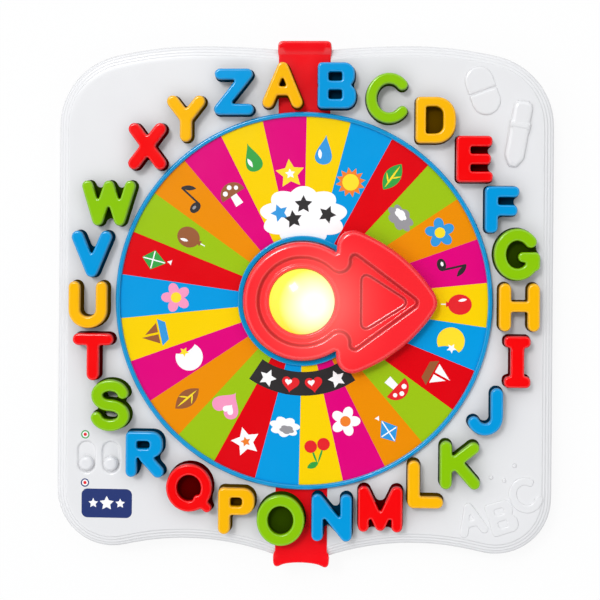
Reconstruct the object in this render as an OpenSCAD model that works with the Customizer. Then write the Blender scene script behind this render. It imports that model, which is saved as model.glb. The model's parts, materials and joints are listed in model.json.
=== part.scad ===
// Alphabet activity board: a flat white board with a printed dial, a spinning pointer with a lit
// button, raised letters round the dial and two sliding knobs. It lies on its back, face up.

/* [Board] */
// The dial's rim to the board's side edge
side_margin = 48; // [44:0.5:56]
// The dial's rim to the highest point of the upper edge
top_margin = 53.4; // [50:0.1:60]
// The dial's rim to the lowest point of the lower corners
bottom_margin = 49.8; // [45:0.1:55]
// Thickness of the closed housing, without its feet
panel_h = 30; // [29:0.5:40]
// Height of the rear cover's side wall
rear_h = 11; // [8:0.5:14]
// Thickness of the face plate
face_t = 3; // [2.6:0.1:4]
// Thickness of the side walls
wall_t = 2.6; // [2:0.1:4]
// Thickness of the rear cover's floor
floor_t = 2.6; // [2:0.1:4]
// Radius of the upper corners
top_corner_r = 58; // [50:1:66]
// Radius of the shoulders beside the upper corners
shoulder_r = 300; // [240:5:360]
// Radius of the long crown of the upper edge
crown_r = 730; // [500:10:1000]
// Centre line to the top of each crown
crown_x = 85; // [78:1:92]
// Radius of the lower corners
bottom_corner_r = 45; // [40:1:52]
// Radius of the hollow waves in the lower edge
wave_r = 215; // [190:5:260]
// Centre line to the middle of each wave
wave_x = 92; // [86:1:98]
// Width of one step of the rim
rim_step_w = 2.5; // [1.5:0.1:3]
// Height of one step of the rim
rim_step_h = 1.1; // [0.6:0.1:1.4]

/* [Brackets] */
// How far the top bracket stands out over the board's edge
top_overhang = 6.61; // [5:0.01:10]
// How far the bottom bracket stands out over the board's edge
bottom_overhang = 7.86; // [6:0.01:12]
// Width of a bracket's tongue
tongue_w = 41.6; // [36:0.2:46]
// Thickness of a bracket's tongue, let into the face
tongue_t = 1.6; // [1.2:0.1:2]
// Width of the lip at a bracket's outer end
lip_w = 45; // [40:0.5:50]
// Length of the lip over the face
lip_l = 13.6; // [10:0.2:16]
// Height of the lip above the face
lip_h = 2.4; // [1.5:0.1:4]

/* [Dial] */
// Outer radius of the dial
dial_r = 151; // [148:0.5:154]
// Width of the raised rim
dial_rim_w = 3.8; // [3:0.1:5]
// Height of the raised rim above the face
dial_rim_h = 4.6; // [3.6:0.1:6]
// Thickness of the dial's floor
dial_floor_t = 2; // [1.6:0.1:2.6]
// Thickness of the printed disc
label_t = 0.4; // [0.2:0.1:0.6]
// Number of coloured wedges, one for each letter
wedge_count = 26; // [26]
// Gap between the pointer's hub and the collar round it
collar_gap = 0.5; // [0.4:0.1:1.5]
// Width of the collar
collar_w = 4.1; // [3:0.1:5]
// Height of the collar above the dial's floor
collar_h = 3.4; // [2:0.1:4]

/* [Pointer] */
// Width of the groove round the button's lip
groove_w = 5; // [4:0.1:6]
// Hub centre to the arrow's tip
arrow_reach = 109.3; // [105:0.1:112]
// Radius of the arrow's bowed sides
arrow_side_r = 125; // [115:1:140]
// Hub centre to the back of the arrow head
arrow_back = 27; // [24:0.5:30]
// Rounding of the arrow's corners
arrow_round = 13; // [9:0.5:15]
// Height of the pointer's top above the dial's floor
pointer_h = 13.4; // [12:0.1:16]
// Width of the hub's border round the groove
border_w = 13; // [10:0.5:15]
// Width of the triangular pocket, before its corners are rounded
pocket_w = 80; // [74:1:84]
// Depth of the pocket
pocket_depth = 5; // [3:0.1:5.5]
// Rounding where the groove round the button meets the pocket
pocket_round = 9; // [7:0.5:10]
// Depth of the smaller triangle below the pocket's floor
notch_depth = 2; // [1:0.1:2.4]
// Width of the smaller triangle, before its corners are rounded
notch_w = 50; // [44:1:52]
// Width of the lip round the button
button_lip_w = 3; // [2:0.1:4]

/* [Button and hub] */
// Radius of the lit button
button_r = 25.9; // [25:0.1:27]
// Height of the button's dome
dome_h = 6.4; // [4:0.1:8]
// How far the button goes down
button_travel = 2.5; // [1.5:0.1:2.8]
// Outer radius of the hub post that the pointer turns on
post_r = 23; // [22.4:0.1:23.6]
// Wall of the hub post
post_wall = 2; // [1.6:0.1:2.4]
// Radial running clearance of the pointer and of the button
run_gap = 0.05; // [0.03:0.01:0.08]
// Wire thickness of the button's spring
spring_wire = 1.2; // [0.8:0.1:1.6]
// Turns of the button's spring
spring_turns = 4; // [3:1:6]

/* [Letters] */
// Height of a capital
cap_h = 37; // [34:0.5:39]
// Height of the letters above the face
letter_h = 13; // [10:0.5:16]
// Height of the web in closed and narrow places of a letter
web_h = 4; // [3:0.5:6]
// The dial's rim to the middle of the ring of letters
letter_ring_gap = 21.3; // [20.5:0.1:24]
// Radius of the pegs that fix a letter
peg_r = 2.2; // [1.6:0.1:2.4]

/* [Knobs] */
// The board's side edge to the middle between the knobs
knob_side_in = 34.5; // [33:0.5:38]
// The lowest point of the lower corners to the middle of the knob recesses
knob_low_in = 72.4; // [70:0.1:76]
// Distance between the two knobs
knob_pitch = 20; // [18:0.5:22]
// Width of a recess
recess_w = 13.6; // [12:0.2:15]
// Length of a recess
recess_l = 26; // [24:0.5:28]
// Depth of a recess
recess_depth = 1.5; // [1:0.1:1.8]
// Travel of a knob
knob_travel = 10; // [6:0.5:11]
// Radius of a knob
knob_r = 5.4; // [4.5:0.1:5.6]

/* [Battery box] */
// Number of cells
cell_count = 3; // [2:1:4]
// Radius of a cell
cell_r = 7.1; // [5.1:0.1:7.2]
// Length of a cell
cell_l = 50; // [44:0.5:51]
// The lowest point of the lower corners to the middle of the box
box_low_in = 106; // [100:1:112]

/* [Feet] */
// Radius of a rubber foot
foot_r = 9; // [6:0.5:12]
// Height of a foot below the housing
foot_h = 2; // [1.5:0.1:4]

/* [Hidden] */
$fn = 96;
GLYPH_FN = 28;

// Small fits, the overlap of joined shapes and the overrun of cuts
fit_gap = 0.2;
free_gap = 0.5;
bite = 0.02;
over = 1;

// Sizes that follow from the dial and its margins
panel_w = 2 * (dial_r + side_margin);
panel_top_reach = dial_r + top_margin;
panel_bottom_reach = dial_r + bottom_margin;
hub_ring_r = button_r + free_gap + button_lip_w + groove_w + border_w;
collar_r = hub_ring_r + collar_gap + collar_w;
letter_ring_r = dial_r + letter_ring_gap;
knob_mid_x = knob_side_in - panel_w / 2;
knob_mid_y = knob_low_in - panel_bottom_reach;
box_y = box_low_in - panel_bottom_reach;

// Levels that every piece takes its place from
z_back = foot_h;
z_floor = z_back + floor_t;
z_part = z_back + rear_h;
z_face = z_back + panel_h;
z_plate = z_face - face_t;
z_dial = z_face + dial_floor_t;
z_label = z_dial + label_t;
z_collar = z_dial + collar_h;
z_pointer = z_dial + pointer_h;

rim_steps = 3;

// Screws: shank, head and the bosses that take them
screw_r = 1.5;
screw_head_r = 3.2;
screw_head_h = 2.2;
screw_gap = 0.05;
boss_r = 4.4;
washer_head_r = 6;
washer_head_h = 1.8;
small_boss_r = 3.4;
tower_w = 1;
screw_stop = 3;
screw_cover = 0.6;
screw_tip = 0.4;
head_seat = 4;
housing_grip = 9;
board_grip = 6;
skin_t = 1;
foot_seat = 1;

// Hub levels
pointer_play = 1.2;
sleeve_wall = 3.4;
post_rise = 7;
press_gap = 0.3;
lip_sunk = 1;
bore_r = post_r + run_gap;
sleeve_r = post_r + sleeve_wall;
z_sleeve = z_plate - pointer_play;
z_post_top = z_dial + post_rise;
z_shoulder = z_post_top + press_gap;
z_button = z_shoulder + button_travel + press_gap + 0.1;
z_button_edge = z_pointer + fit_gap;
post_in_r = post_r - post_wall;
ledge_w = 2.6;
z_button_board = z_sleeve + 3;
board_t = 1.6;
stem_r = post_in_r - run_gap;
stem_wall = 1.8;
z_stem = z_button_board + board_t + button_travel + 1.2;
z_stem_top = z_button + 1;
spring_r = stem_r - stem_wall - spring_wire;
dome_r = (button_r * button_r + dome_h * dome_h) / (2 * dome_h);
hub_flange_r = post_r + 9;
hub_flange_t = 3;
hub_screw_r = post_r + 5;
disc_r = 40;
disc_t = 1.6;
encoder_in_r = post_r + 4;
encoder_out_r = 48;
encoder_screw_r = 44;
finger_t = 0.4;
finger_w = 4;
finger_x = encoder_in_r + 6;
finger_l = 8;
finger_tip = 1.2;
finger_clear = 0.3;
z_disc = z_sleeve - disc_t;
z_encoder = z_disc - 3.2;

// Places of fasteners and inner pieces, from the dial centre
corner_boss = [[-1, 1], [1, 1], [-1, -1], [1, -1]];
corner_in = 33;
corner_drop = 5;
inner_boss_x = 110;
bracket_boss_in = 17.5;
tongue_boss_in = 4;
tongue_under = 10;
dial_boss_r = dial_r - 12;
dial_boss_count = 6;
foot_in = 52;
main_board_pos = [-72, 62];
main_board_size = [78, 52];
main_board_z = z_floor + 7;
main_board_hole_in = 4;
speaker_pos = [76, 66];
speaker_r = 28;
speaker_flange_t = 1.6;
speaker_depth = 13;
speaker_seat_h = 2.4;
speaker_seat_w = 3;
magnet_r = 16;
magnet_h = 6;
grille_count = 7;
grille_pitch = 6;
grille_w = 2.6;
grille_in = 6;

// Battery box
cell_gap = 0.6;
box_wall = 2;
box_in_w = cell_count * 2 * cell_r + (cell_count + 1) * cell_gap;
contact_t = 0.5;
contact_room = 2;
box_in_l = cell_l + 2 * contact_room;
z_cells = z_floor + free_gap + cell_r;
z_box_roof = z_cells + cell_r + free_gap;
door_ledge = 3;
door_t = floor_t - 1;
door_tab = 12;
door_rib_w = 2;
door_rib_in = 8;
door_head_h = 0.9;
door_head_sunk = 0.1;
cell_nub_h = 1.4;
cell_nub_r = 2.7;
contact_clear = 0.3;

// Letters are drawn on a grid and scaled to the height of a capital
GRID_CAP = 37;
letter_scale = cap_h / GRID_CAP;
stroke_w = 9.6;
thin_w = 8.9;
cap_y = (GRID_CAP - stroke_w) / 2;
half_h = GRID_CAP / 2;
corner_fill = 0.8;
head_r = peg_r + 1.2;
head_h = 1.4;

RED = "red";
SUN = "gold";
SKY = "deepskyblue";
LEAF = "yellowgreen";
PINK = "deeppink";
SNOW = "whitesmoke";
STEEL = "silver";
BOARD = "seagreen";
wedge_deg = 360 / wedge_count;

// Each letter: name, colour, turn from its wedge's middle in degrees, shift outwards, the radius up
// to which its gaps hold a web, and its two pegs
LETTERS = [
    ["a", SUN, -1.3, 0, 3.5, [-9.5, -10], [9.5, -10]],
    ["b", SKY, -1.8, 0.9, 5, [-11, -13], [-11, 13]],
    ["c", LEAF, -1.4, 1.9, 0, [-12, 0], [6, -14]],
    ["d", SUN, -1.3, 5.6, 7, [-11.5, -13], [-11.5, 13]],
    ["e", RED, -1.5, 4.1, 4, [-9.5, -13], [-9.5, 13]],
    ["f", SKY, -2.5, 1, 4, [-9, -13], [-9, 13]],
    ["g", LEAF, -1, 1, 8.5, [-13, 0], [4, -15]],
    ["h", SUN, -1, -1.4, 0, [-11.2, -9], [11.2, 9]],
    ["i", RED, -1.3, 3.4, 0, [0, -13], [0, 13]],
    ["j", SKY, -2.9, -3, 0, [8.2, 11], [-2, -12]],
    ["k", LEAF, -4, 6.7, 0, [-11, -11], [-11, 11]],
    ["l", SUN, -0.2, 1.9, 0, [-9.2, 10], [5, -13.7]],
    ["m", RED, 0.3, 3, 5, [-13, -10], [13, 10]],
    ["n", SKY, 1.3, 0.5, 4, [-11.4, -10], [11.4, 10]],
    ["o", LEAF, 1.7, 2.3, 11, [-14.5, 0], [14.5, 0]],
    ["p", SUN, 3.9, 2.4, 5, [-10.2, -12], [-10.2, 13]],
    ["q", RED, 3.8, 1.8, 10, [-14, 0], [0, 14.2]],
    ["r", SKY, 3.2, 3.3, 5, [-11, -11], [-11, 13]],
    ["s", LEAF, 1.3, 2.9, 3, [0, 16], [0, -16]],
    ["t", RED, 1.5, 1.2, 0, [0, 11], [0, -11]],
    ["u", SUN, 1.5, -0.6, 0, [-11, 8], [11, 8]],
    ["v", SKY, 1.8, 0.4, 3.5, [-9.5, 9.5], [9.5, 9.5]],
    ["w", LEAF, 1.4, 1.1, 4.5, [-8.6, -12.5], [8.6, -12.5]],
    ["x", RED, -2.9, 2.5, 2, [-8, 11], [8, -11]],
    ["y", SUN, -1.6, 0, 3, [0, -11], [-8, 10.5]],
    ["z", SKY, -2.1, 3, 0, [8, 14], [-8, -14]]
];
letter_count = len(LETTERS);

// Outline of the board, as tangent arcs, with a straight stretch behind each bracket
tongue_side_in = 2;
straight_x = tongue_w / 2 - tongue_side_in;

// Points of an arc round c from angle a0 to a1
function arc_pts(c, r, a0, a1, steps) =
    [for (i = [0 : steps]) let (a = a0 + (a1 - a0) * i / steps) c + r * [cos(a), sin(a)]];

// The left half of the board's edge, drawn in by a constant distance, from top to bottom
function half_edge(inset) =
    let (
        left = -panel_w / 2,
        corner_x = left + top_corner_r,
        lean = asin((-crown_x - corner_x) / (shoulder_r - top_corner_r)),
        crown_y = panel_top_reach - crown_r,
        shoulder_y = panel_top_reach - shoulder_r,
        corner_y = shoulder_y + (shoulder_r - top_corner_r) * cos(lean),
        low_x = left + bottom_corner_r,
        low_y = -panel_bottom_reach + bottom_corner_r,
        swing = asin((-wave_x - low_x) / (wave_r + bottom_corner_r)),
        wave_y = low_y - (wave_r + bottom_corner_r) * cos(swing),
        crown_end = asin((crown_x - straight_x) / (crown_r - inset)),
        wave_end = asin((wave_x - straight_x) / (wave_r + inset))
    )
    concat(
        arc_pts([-crown_x, crown_y], crown_r - inset, 90 - crown_end, 90, 6),
        arc_pts([-crown_x, shoulder_y], shoulder_r - inset, 91, 90 + lean, 5),
        arc_pts([corner_x, corner_y], top_corner_r - inset, 94 + lean, 180, 12),
        arc_pts([low_x, low_y], bottom_corner_r - inset, 180, 270 + swing, 12),
        arc_pts([-wave_x, wave_y], wave_r + inset, 88 + swing, 90 - wave_end, 12)
    );
edge_pts = half_edge(0);
edge_top_y = edge_pts[0].y;
edge_bottom_y = edge_pts[len(edge_pts) - 1].y;
bracket_top_reach = edge_top_y + top_overhang;
bracket_bottom_reach = bottom_overhang - edge_bottom_y;
dial_y = (bracket_bottom_reach - bracket_top_reach) / 2;

module edge_shape(inset) {
    left = half_edge(inset);
    last = len(left) - 1;
    polygon(concat(left, [for (i = [last : -1 : 0]) [-left[i].x, left[i].y]]));
}

// A slab of the board's outline between two heights
module edge_slab(inset, z0, z1)
    translate([0, 0, z0])
        linear_extrude(z1 - z0)
            edge_shape(inset);

// Everything is drawn from the dial centre and moved so that the part's box is centred
module place(pos = [0, 0], z = 0)
    translate([pos.x, pos.y + dial_y, z])
        children();

module rod(r, z0, z1)
    translate([0, 0, z0])
        cylinder(r = r, h = z1 - z0);

module tube(r_out, r_in, z0, z1)
    difference() {
        rod(r_out, z0, z1);
        rod(r_in, z0 - over, z1 + over);
    }

module block(size, z0, z1)
    translate([-size.x / 2, -size.y / 2, z0])
        cube([size.x, size.y, z1 - z0]);

// A flat shape with round ends, standing along Y
module pill(w, l)
    polygon(concat(
        arc_pts([0, (l - w) / 2], w / 2, 0, 180, 14),
        arc_pts([0, (w - l) / 2], w / 2, 180, 360, 14)
    ));

// Places of the fasteners

function corner_boss_pos(k) = [
    corner_boss[k].x * (panel_w / 2 - corner_in),
    corner_boss[k].y > 0 ? panel_top_reach - corner_in - corner_drop : corner_in - panel_bottom_reach
];
housing_boss_pos = concat(
    [for (k = [0 : 3]) corner_boss_pos(k)],
    [[-inner_boss_x, 0], [inner_boss_x, 0]]
);
top_boss_pos = [[0, dial_r - tongue_boss_in], [0, edge_top_y - bracket_boss_in]];
bottom_boss_pos = [[0, tongue_boss_in - dial_r], [0, edge_bottom_y + bracket_boss_in]];
dial_boss_pos = [for (k = [0 : dial_boss_count - 1])
    let (a = (k + 0.5) * 360 / dial_boss_count + 90) dial_boss_r * [cos(a), sin(a)]];
foot_pos = [for (s = corner_boss) [s.x * (panel_w / 2 - foot_in), s.y * (panel_bottom_reach - foot_in)]];
knob_pos = [for (s = [-1, 1]) [knob_mid_x + s * knob_pitch / 2, knob_mid_y]];
main_hole_span = main_board_size / 2 - [main_board_hole_in, main_board_hole_in];
main_hole_pos = [for (s = corner_boss) main_board_pos + [s.x * main_hole_span.x, s.y * main_hole_span.y]];
encoder_hole_pos = [for (k = [0 : 3]) encoder_screw_r * [cos(45 + 90 * k), sin(45 + 90 * k)]];
hub_hole_pos = [for (k = [0 : 2]) hub_screw_r * [cos(90 + 120 * k), sin(90 + 120 * k)]];
switch_board_size = [knob_pitch + recess_l, recess_l + 6];
switch_boss_x = switch_board_size.x / 2 - 4;
z_switch_can = z_plate - 7;
z_switch_board = z_switch_can - 5;
can_size = [8, knob_travel + 10];
switch_hole_pos = [for (s = [-1, 1]) [knob_mid_x + s * switch_boss_x, knob_mid_y]];

// A screw standing up from its head's underside at z, head below
module screw_up(z, length, r_head, h_head) {
    rod(r_head, z - h_head, z);
    rod(screw_r, z - bite, z + length);
}

// A screw hanging down from its head's underside at z, head above
module screw_down(z, length) {
    rod(screw_head_r, z, z + screw_head_h);
    rod(screw_r, z - length, z + bite);
}

// Letters, as flat shapes about their middle

function capsule_pts(p, q, w) =
    let (a = atan2(q.y - p.y, q.x - p.x))
    concat(arc_pts(q, w / 2, a - 90, a + 90, 10), arc_pts(p, w / 2, a + 90, a + 270, 10));

module bar(p, q, w = stroke_w)
    polygon(capsule_pts(p, q, w));

// A band of width w along an ellipse, with round ends
module bow(c, rx, ry, a0, a1, w = stroke_w) {
    steps = max(8, ceil(abs(a1 - a0) / 11));
    edge = [for (i = [0 : steps]) a0 + (a1 - a0) * i / steps];
    polygon(concat(
        [for (a = edge) c + [(rx + w / 2) * cos(a), (ry + w / 2) * sin(a)]],
        [for (i = [steps : -1 : 0]) c + [(rx - w / 2) * cos(edge[i]), (ry - w / 2) * sin(edge[i])]]
    ));
    for (a = [a0, a1])
        translate(c + [rx * cos(a), ry * sin(a)])
            circle(r = w / 2, $fn = GLYPH_FN);
}

// A round-cornered plate with its own radius on the left and on the right
module plate(x0, y0, x1, y1, rl, rr)
    polygon(concat(
        arc_pts([x1 - rr, y0 + rr], rr, -90, 0, 7),
        arc_pts([x1 - rr, y1 - rr], rr, 0, 90, 7),
        arc_pts([x0 + rl, y1 - rl], rl, 90, 180, 7),
        arc_pts([x0 + rl, y0 + rl], rl, 180, 270, 7)
    ));

// An oval ring
module oval(rx, ry, w)
    difference() {
        scale([1, (ry + w / 2) / (rx + w / 2)])
            circle(r = rx + w / 2, $fn = 2 * GLYPH_FN);
        scale([1, (ry - w / 2) / (rx - w / 2)])
            circle(r = rx - w / 2, $fn = 2 * GLYPH_FN);
    }

module glyph(name) {
    t = cap_y;
    h = half_h;
    if (name == "a")
        difference() {
            union() {
                bar([-11.5, -t], [0, t]);
                bar([11.5, -t], [0, t]);
                bar([-6, -4.6], [6, -4.6], 7.6);
            }
            polygon([[-3, -0.9], [3, -0.9], [0, 6.6]]);
        }
    if (name == "b")
        difference() {
            union() {
                plate(-15.5, -1.5, 14.3, h, 3.6, 8.6);
                plate(-15.5, -h, 15.5, 1.5, 3.6, 8.8);
            }
            plate(-6.4, 4, 3.8, h - 8, 1, 1);
            plate(-6.4, 8 - h, 3.8, -3.6, 1, 1);
        }
    if (name == "c")
        bow([1.8, 0], 14, t + 2, 42, 318, 9);
    if (name == "d")
        difference() {
            plate(-16, -h, 16, h, 3.6, 15.4);
            plate(-7.4, 8 - h, 5.6, h - 8, 1, 6);
        }
    if (name == "e") {
        plate(-14.5, -h, -3, h, 3.2, 1);
        plate(-14.5, h - thin_w, 14, h, 3.2, 3.4);
        plate(-14.5, -thin_w / 2, 13, thin_w / 2, 3.2, 3.4);
        plate(-14.5, -h, 14.5, thin_w - h, 3.2, 3.4);
    }
    if (name == "f") {
        plate(-13.6, -h, -3, h, 3.6, 4.4);
        plate(-13.6, h - thin_w, 13.6, h, 3.6, 3.8);
        plate(-13.6, -5, 12.2, 4, 3.6, 3.8);
    }
    if (name == "g") {
        bow([0, 0], 13.6, t + 2, 40, 345, 10);
        bar([4.5, -2], [13.6, -2], 8.4);
        bar([13.8, -2], [13.8, -9], 8.4);
    }
    if (name == "h") {
        bar([-11.2, -t - 0.5], [-11.2, t + 0.5], 10);
        bar([11.2, -t - 0.5], [11.2, t + 0.5], 10);
        bar([-11.2, 0.5], [11.2, 0.5], 8.6);
    }
    if (name == "i") {
        plate(-5.6, -h, 5.6, h, 1, 1);
        plate(-10.5, h - 7.4, 10.5, h + 2, 3.8, 3.8);
        plate(-10.5, -h - 2, 10.5, 7.4 - h, 3.8, 3.8);
    }
    if (name == "j") {
        bar([8.2, t + 1], [8.2, -3], 10.2);
        bow([-1.2, 10 - t], 9.4, 9.4, 205, 360, 9.8);
    }
    if (name == "k") {
        bar([-11, -t - 0.5], [-11, t + 0.5], 10);
        bar([-8, -1], [10.5, t], 9.8);
        bar([-3, 2], [11.2, -t - 0.5], 9.8);
    }
    if (name == "l") {
        bar([-9.2, t + 0.5], [-9.2, -t], 10.2);
        bar([-9.2, -t], [9.4, -t], 9.8);
    }
    if (name == "m") {
        bar([-13.2, -t], [-13.2, t], 9.2);
        bar([13.2, -t], [13.2, t], 9.2);
        bar([-12.6, t], [0, -t + 1], 9);
        bar([12.6, t], [0, -t + 1], 9);
    }
    if (name == "n") {
        bar([-11.4, -t - 0.4], [-11.4, t + 0.4]);
        bar([11.4, -t - 0.4], [11.4, t + 0.4]);
        bar([-11.2, t], [11.2, -t]);
    }
    if (name == "o")
        oval(14.6, t + 2, 9.4);
    if (name == "p") {
        bar([-10.2, -t], [-10.2, t], 10.2);
        difference() {
            plate(-15.3, -3.4, 14.4, h, 4.2, 9.6);
            plate(-5, 4, 3.8, h - 8, 1, 2);
        }
    }
    if (name == "q") {
        oval(14, t + 0.9, 9.2);
        bar([7, -9], [14.6, -t - 2], 7.6);
    }
    if (name == "r") {
        bar([-11, -t], [-11, t], 9.4);
        difference() {
            plate(-15.7, -2.6, 14.4, h, 4, 9);
            plate(-6.4, 5, 3.6, h - 8, 1, 2);
        }
        bar([0, -2], [10.6, -t], 9.8);
    }
    if (name == "s") {
        bow([0, 8], 10.6, 8, 14, 270);
        bow([0, -8], 11.2, 8, -166, 90);
    }
    if (name == "t") {
        bar([-11.6, t], [11.6, t], 10);
        bar([0, t], [0, -t - 0.5], 10.4);
    }
    if (name == "u") {
        bar([-11, t + 0.3], [-11, -4.2], 9.8);
        bar([11, t + 0.3], [11, -4.2], 9.8);
        bow([0, -4.2], 11, 10, 180, 360, 9.8);
    }
    if (name == "v") {
        bar([-11.4, t], [0, -t], 10.2);
        bar([11.4, t], [0, -t], 10.2);
    }
    if (name == "w")
        for (s = [-1, 1]) {
            bar([s * 17.2, t], [s * 8.8, -t], 9.2);
            bar([s * 8.8, -t], [0, t], 9.2);
        }
    if (name == "x") {
        bar([-10.2, t], [10.4, -t], 10.2);
        bar([10.2, t], [-10.4, -t], 10.2);
    }
    if (name == "y") {
        bar([-10.6, t], [0, 0], 10);
        bar([10.6, t], [0, 0], 10);
        bar([0, 0], [0, -t], 10);
    }
    if (name == "z") {
        bar([-10.6, t + 0.3], [11, t + 0.3], 9.2);
        bar([11, t + 0.3], [-11, -t - 0.3], 9.2);
        bar([-11, -t - 0.3], [12, -t - 0.3], 9.2);
    }
}

// The letter's outline, joined and with its sharp inner corners filled a little
module letter_shape(name)
    scale(letter_scale)
        offset(r = -corner_fill, $fn = GLYPH_FN)
            offset(r = corner_fill, $fn = GLYPH_FN)
                glyph(name);

// The outline with its narrow and closed places filled
module web_shape(name, reach)
    scale(letter_scale)
        offset(r = -reach, $fn = GLYPH_FN)
            offset(r = reach, $fn = GLYPH_FN)
                glyph(name);

function letter_deg(i) = 90 + wedge_deg / 2 - i * wedge_deg + LETTERS[i][2];
function letter_pos(i) =
    (letter_ring_r + letter_scale * LETTERS[i][3]) * [cos(letter_deg(i)), sin(letter_deg(i))];
peg_pos = [for (i = [0 : letter_count - 1], k = [5, 6]) letter_pos(i) + letter_scale * LETTERS[i][k]];

module letter(i) {
    row = LETTERS[i];
    color(row[1])
        place(letter_pos(i)) {
            translate([0, 0, z_face])
                linear_extrude(letter_h)
                    letter_shape(row[0]);
            if (row[4] > 0)
                translate([0, 0, z_face])
                    linear_extrude(web_h)
                        web_shape(row[0], row[4]);
            for (p = [row[5], row[6]])
                translate(letter_scale * p) {
                    rod(peg_r, z_plate - bite, z_face + bite);
                    rod(head_r, z_plate - head_h, z_plate);
                }
        }
}

// Housing

// The tongue of a bracket, seen from above; dir is 1 at the top and -1 at the bottom
module tongue_shape(dir, reach, gap) {
    inner = dial_r - tongue_under - gap;
    half = tongue_w / 2 + gap;
    polygon([[-half, dir * inner], [half, dir * inner], [half, dir * reach], [-half, dir * reach]]);
}

// Moulded eraser and pen on the upper right, and three letters on the lower right
relief_h = 1.2;
eraser_pos = [panel_w / 2 - 57.2, panel_top_reach - 36];
eraser_size = [23, 40];
eraser_lean = 20;
pen_pos = [panel_w / 2 - 28.8, panel_top_reach - 70.1];
pen_lean = -9.7;
pen_h = 3;
// Right side of the pen from its tip to its cap, as half width and place along the pen
PEN_SIDE = [
    [3, -27], [7.2, -21], [8.2, -18], [8.2, 1.6], [8.8, 2], [8.8, 8.6],
    [8, 9.4], [8, 21], [7, 24.6], [4.2, 26.6]
];
eraser_slit = 0.8;
relief_corner = [panel_w / 2, -panel_bottom_reach];
relief_letters = [["a", [-63.6, 28.4], 14], ["b", [-39.2, 30.2], 18], ["c", [-21.8, 47.6], 28]];
relief_scale = 0.72;

module reliefs() {
    translate(concat(eraser_pos, z_face - bite))
        rotate(eraser_lean)
            linear_extrude(relief_h)
                difference() {
                    pill(eraser_size.x, eraser_size.y);
                    translate([0, -eraser_slit / 2])
                        square([eraser_size.x, eraser_slit], center = true);
                }
    translate(concat(pen_pos, z_face - bite))
        rotate(pen_lean)
            linear_extrude(pen_h)
                polygon(concat(
                    PEN_SIDE,
                    [for (i = [len(PEN_SIDE) - 1 : -1 : 0]) [-PEN_SIDE[i].x, PEN_SIDE[i].y]]
                ));
    for (row = relief_letters)
        translate(concat(relief_corner + row[1], z_face - bite))
            rotate(row[2])
                linear_extrude(relief_h / 2)
                    scale(relief_scale)
                        letter_shape(row[0]);
}

module front_cover() {
    rim_h = rim_steps * rim_step_h;
    color(SNOW)
        place()
            difference() {
                union() {
                    difference() {
                        union() {
                            edge_slab(0, z_part, z_face - rim_h);
                            for (k = [1 : rim_steps])
                                edge_slab(k * rim_step_w, z_face - rim_h - bite,
                                          z_face - (rim_steps - k) * rim_step_h);
                        }
                        edge_slab(wall_t, z_part - over, z_plate - rim_h);
                        edge_slab(wall_t + rim_steps * rim_step_w, z_plate - rim_h - over, z_plate);
                    }
                    for (p = housing_boss_pos)
                        translate(p)
                            rod(boss_r, z_part, z_plate + bite);
                    for (p = switch_hole_pos)
                        translate(p)
                            rod(boss_r, z_switch_board + board_t, z_plate + bite);
                    reliefs();
                }
                for (p = housing_boss_pos)
                    translate(p)
                        rod(screw_r + screw_gap, z_part - over, z_plate - screw_stop);
                for (p = switch_hole_pos)
                    translate(p)
                        rod(screw_r + screw_gap, z_switch_board, z_plate - screw_stop);
                rod(sleeve_r + free_gap, z_part, z_face + over);
                for (p = concat(top_boss_pos, bottom_boss_pos, dial_boss_pos))
                    translate(p)
                        rod(boss_r + fit_gap, z_plate - over, z_face + over);
                translate([0, 0, z_face - tongue_t])
                    linear_extrude(tongue_t + over) {
                        tongue_shape(1, bracket_top_reach + over, fit_gap);
                        tongue_shape(-1, bracket_bottom_reach + over, fit_gap);
                    }
                for (p = knob_pos)
                    translate(p) {
                        translate([0, 0, z_face - recess_depth])
                            linear_extrude(recess_depth + over)
                                pill(recess_w, recess_l);
                        block(slot_size, z_plate - over, z_face);
                    }
                for (p = peg_pos)
                    translate(p)
                        rod(peg_r + fit_gap, z_plate - over, z_face + over);
            }
}

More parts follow.
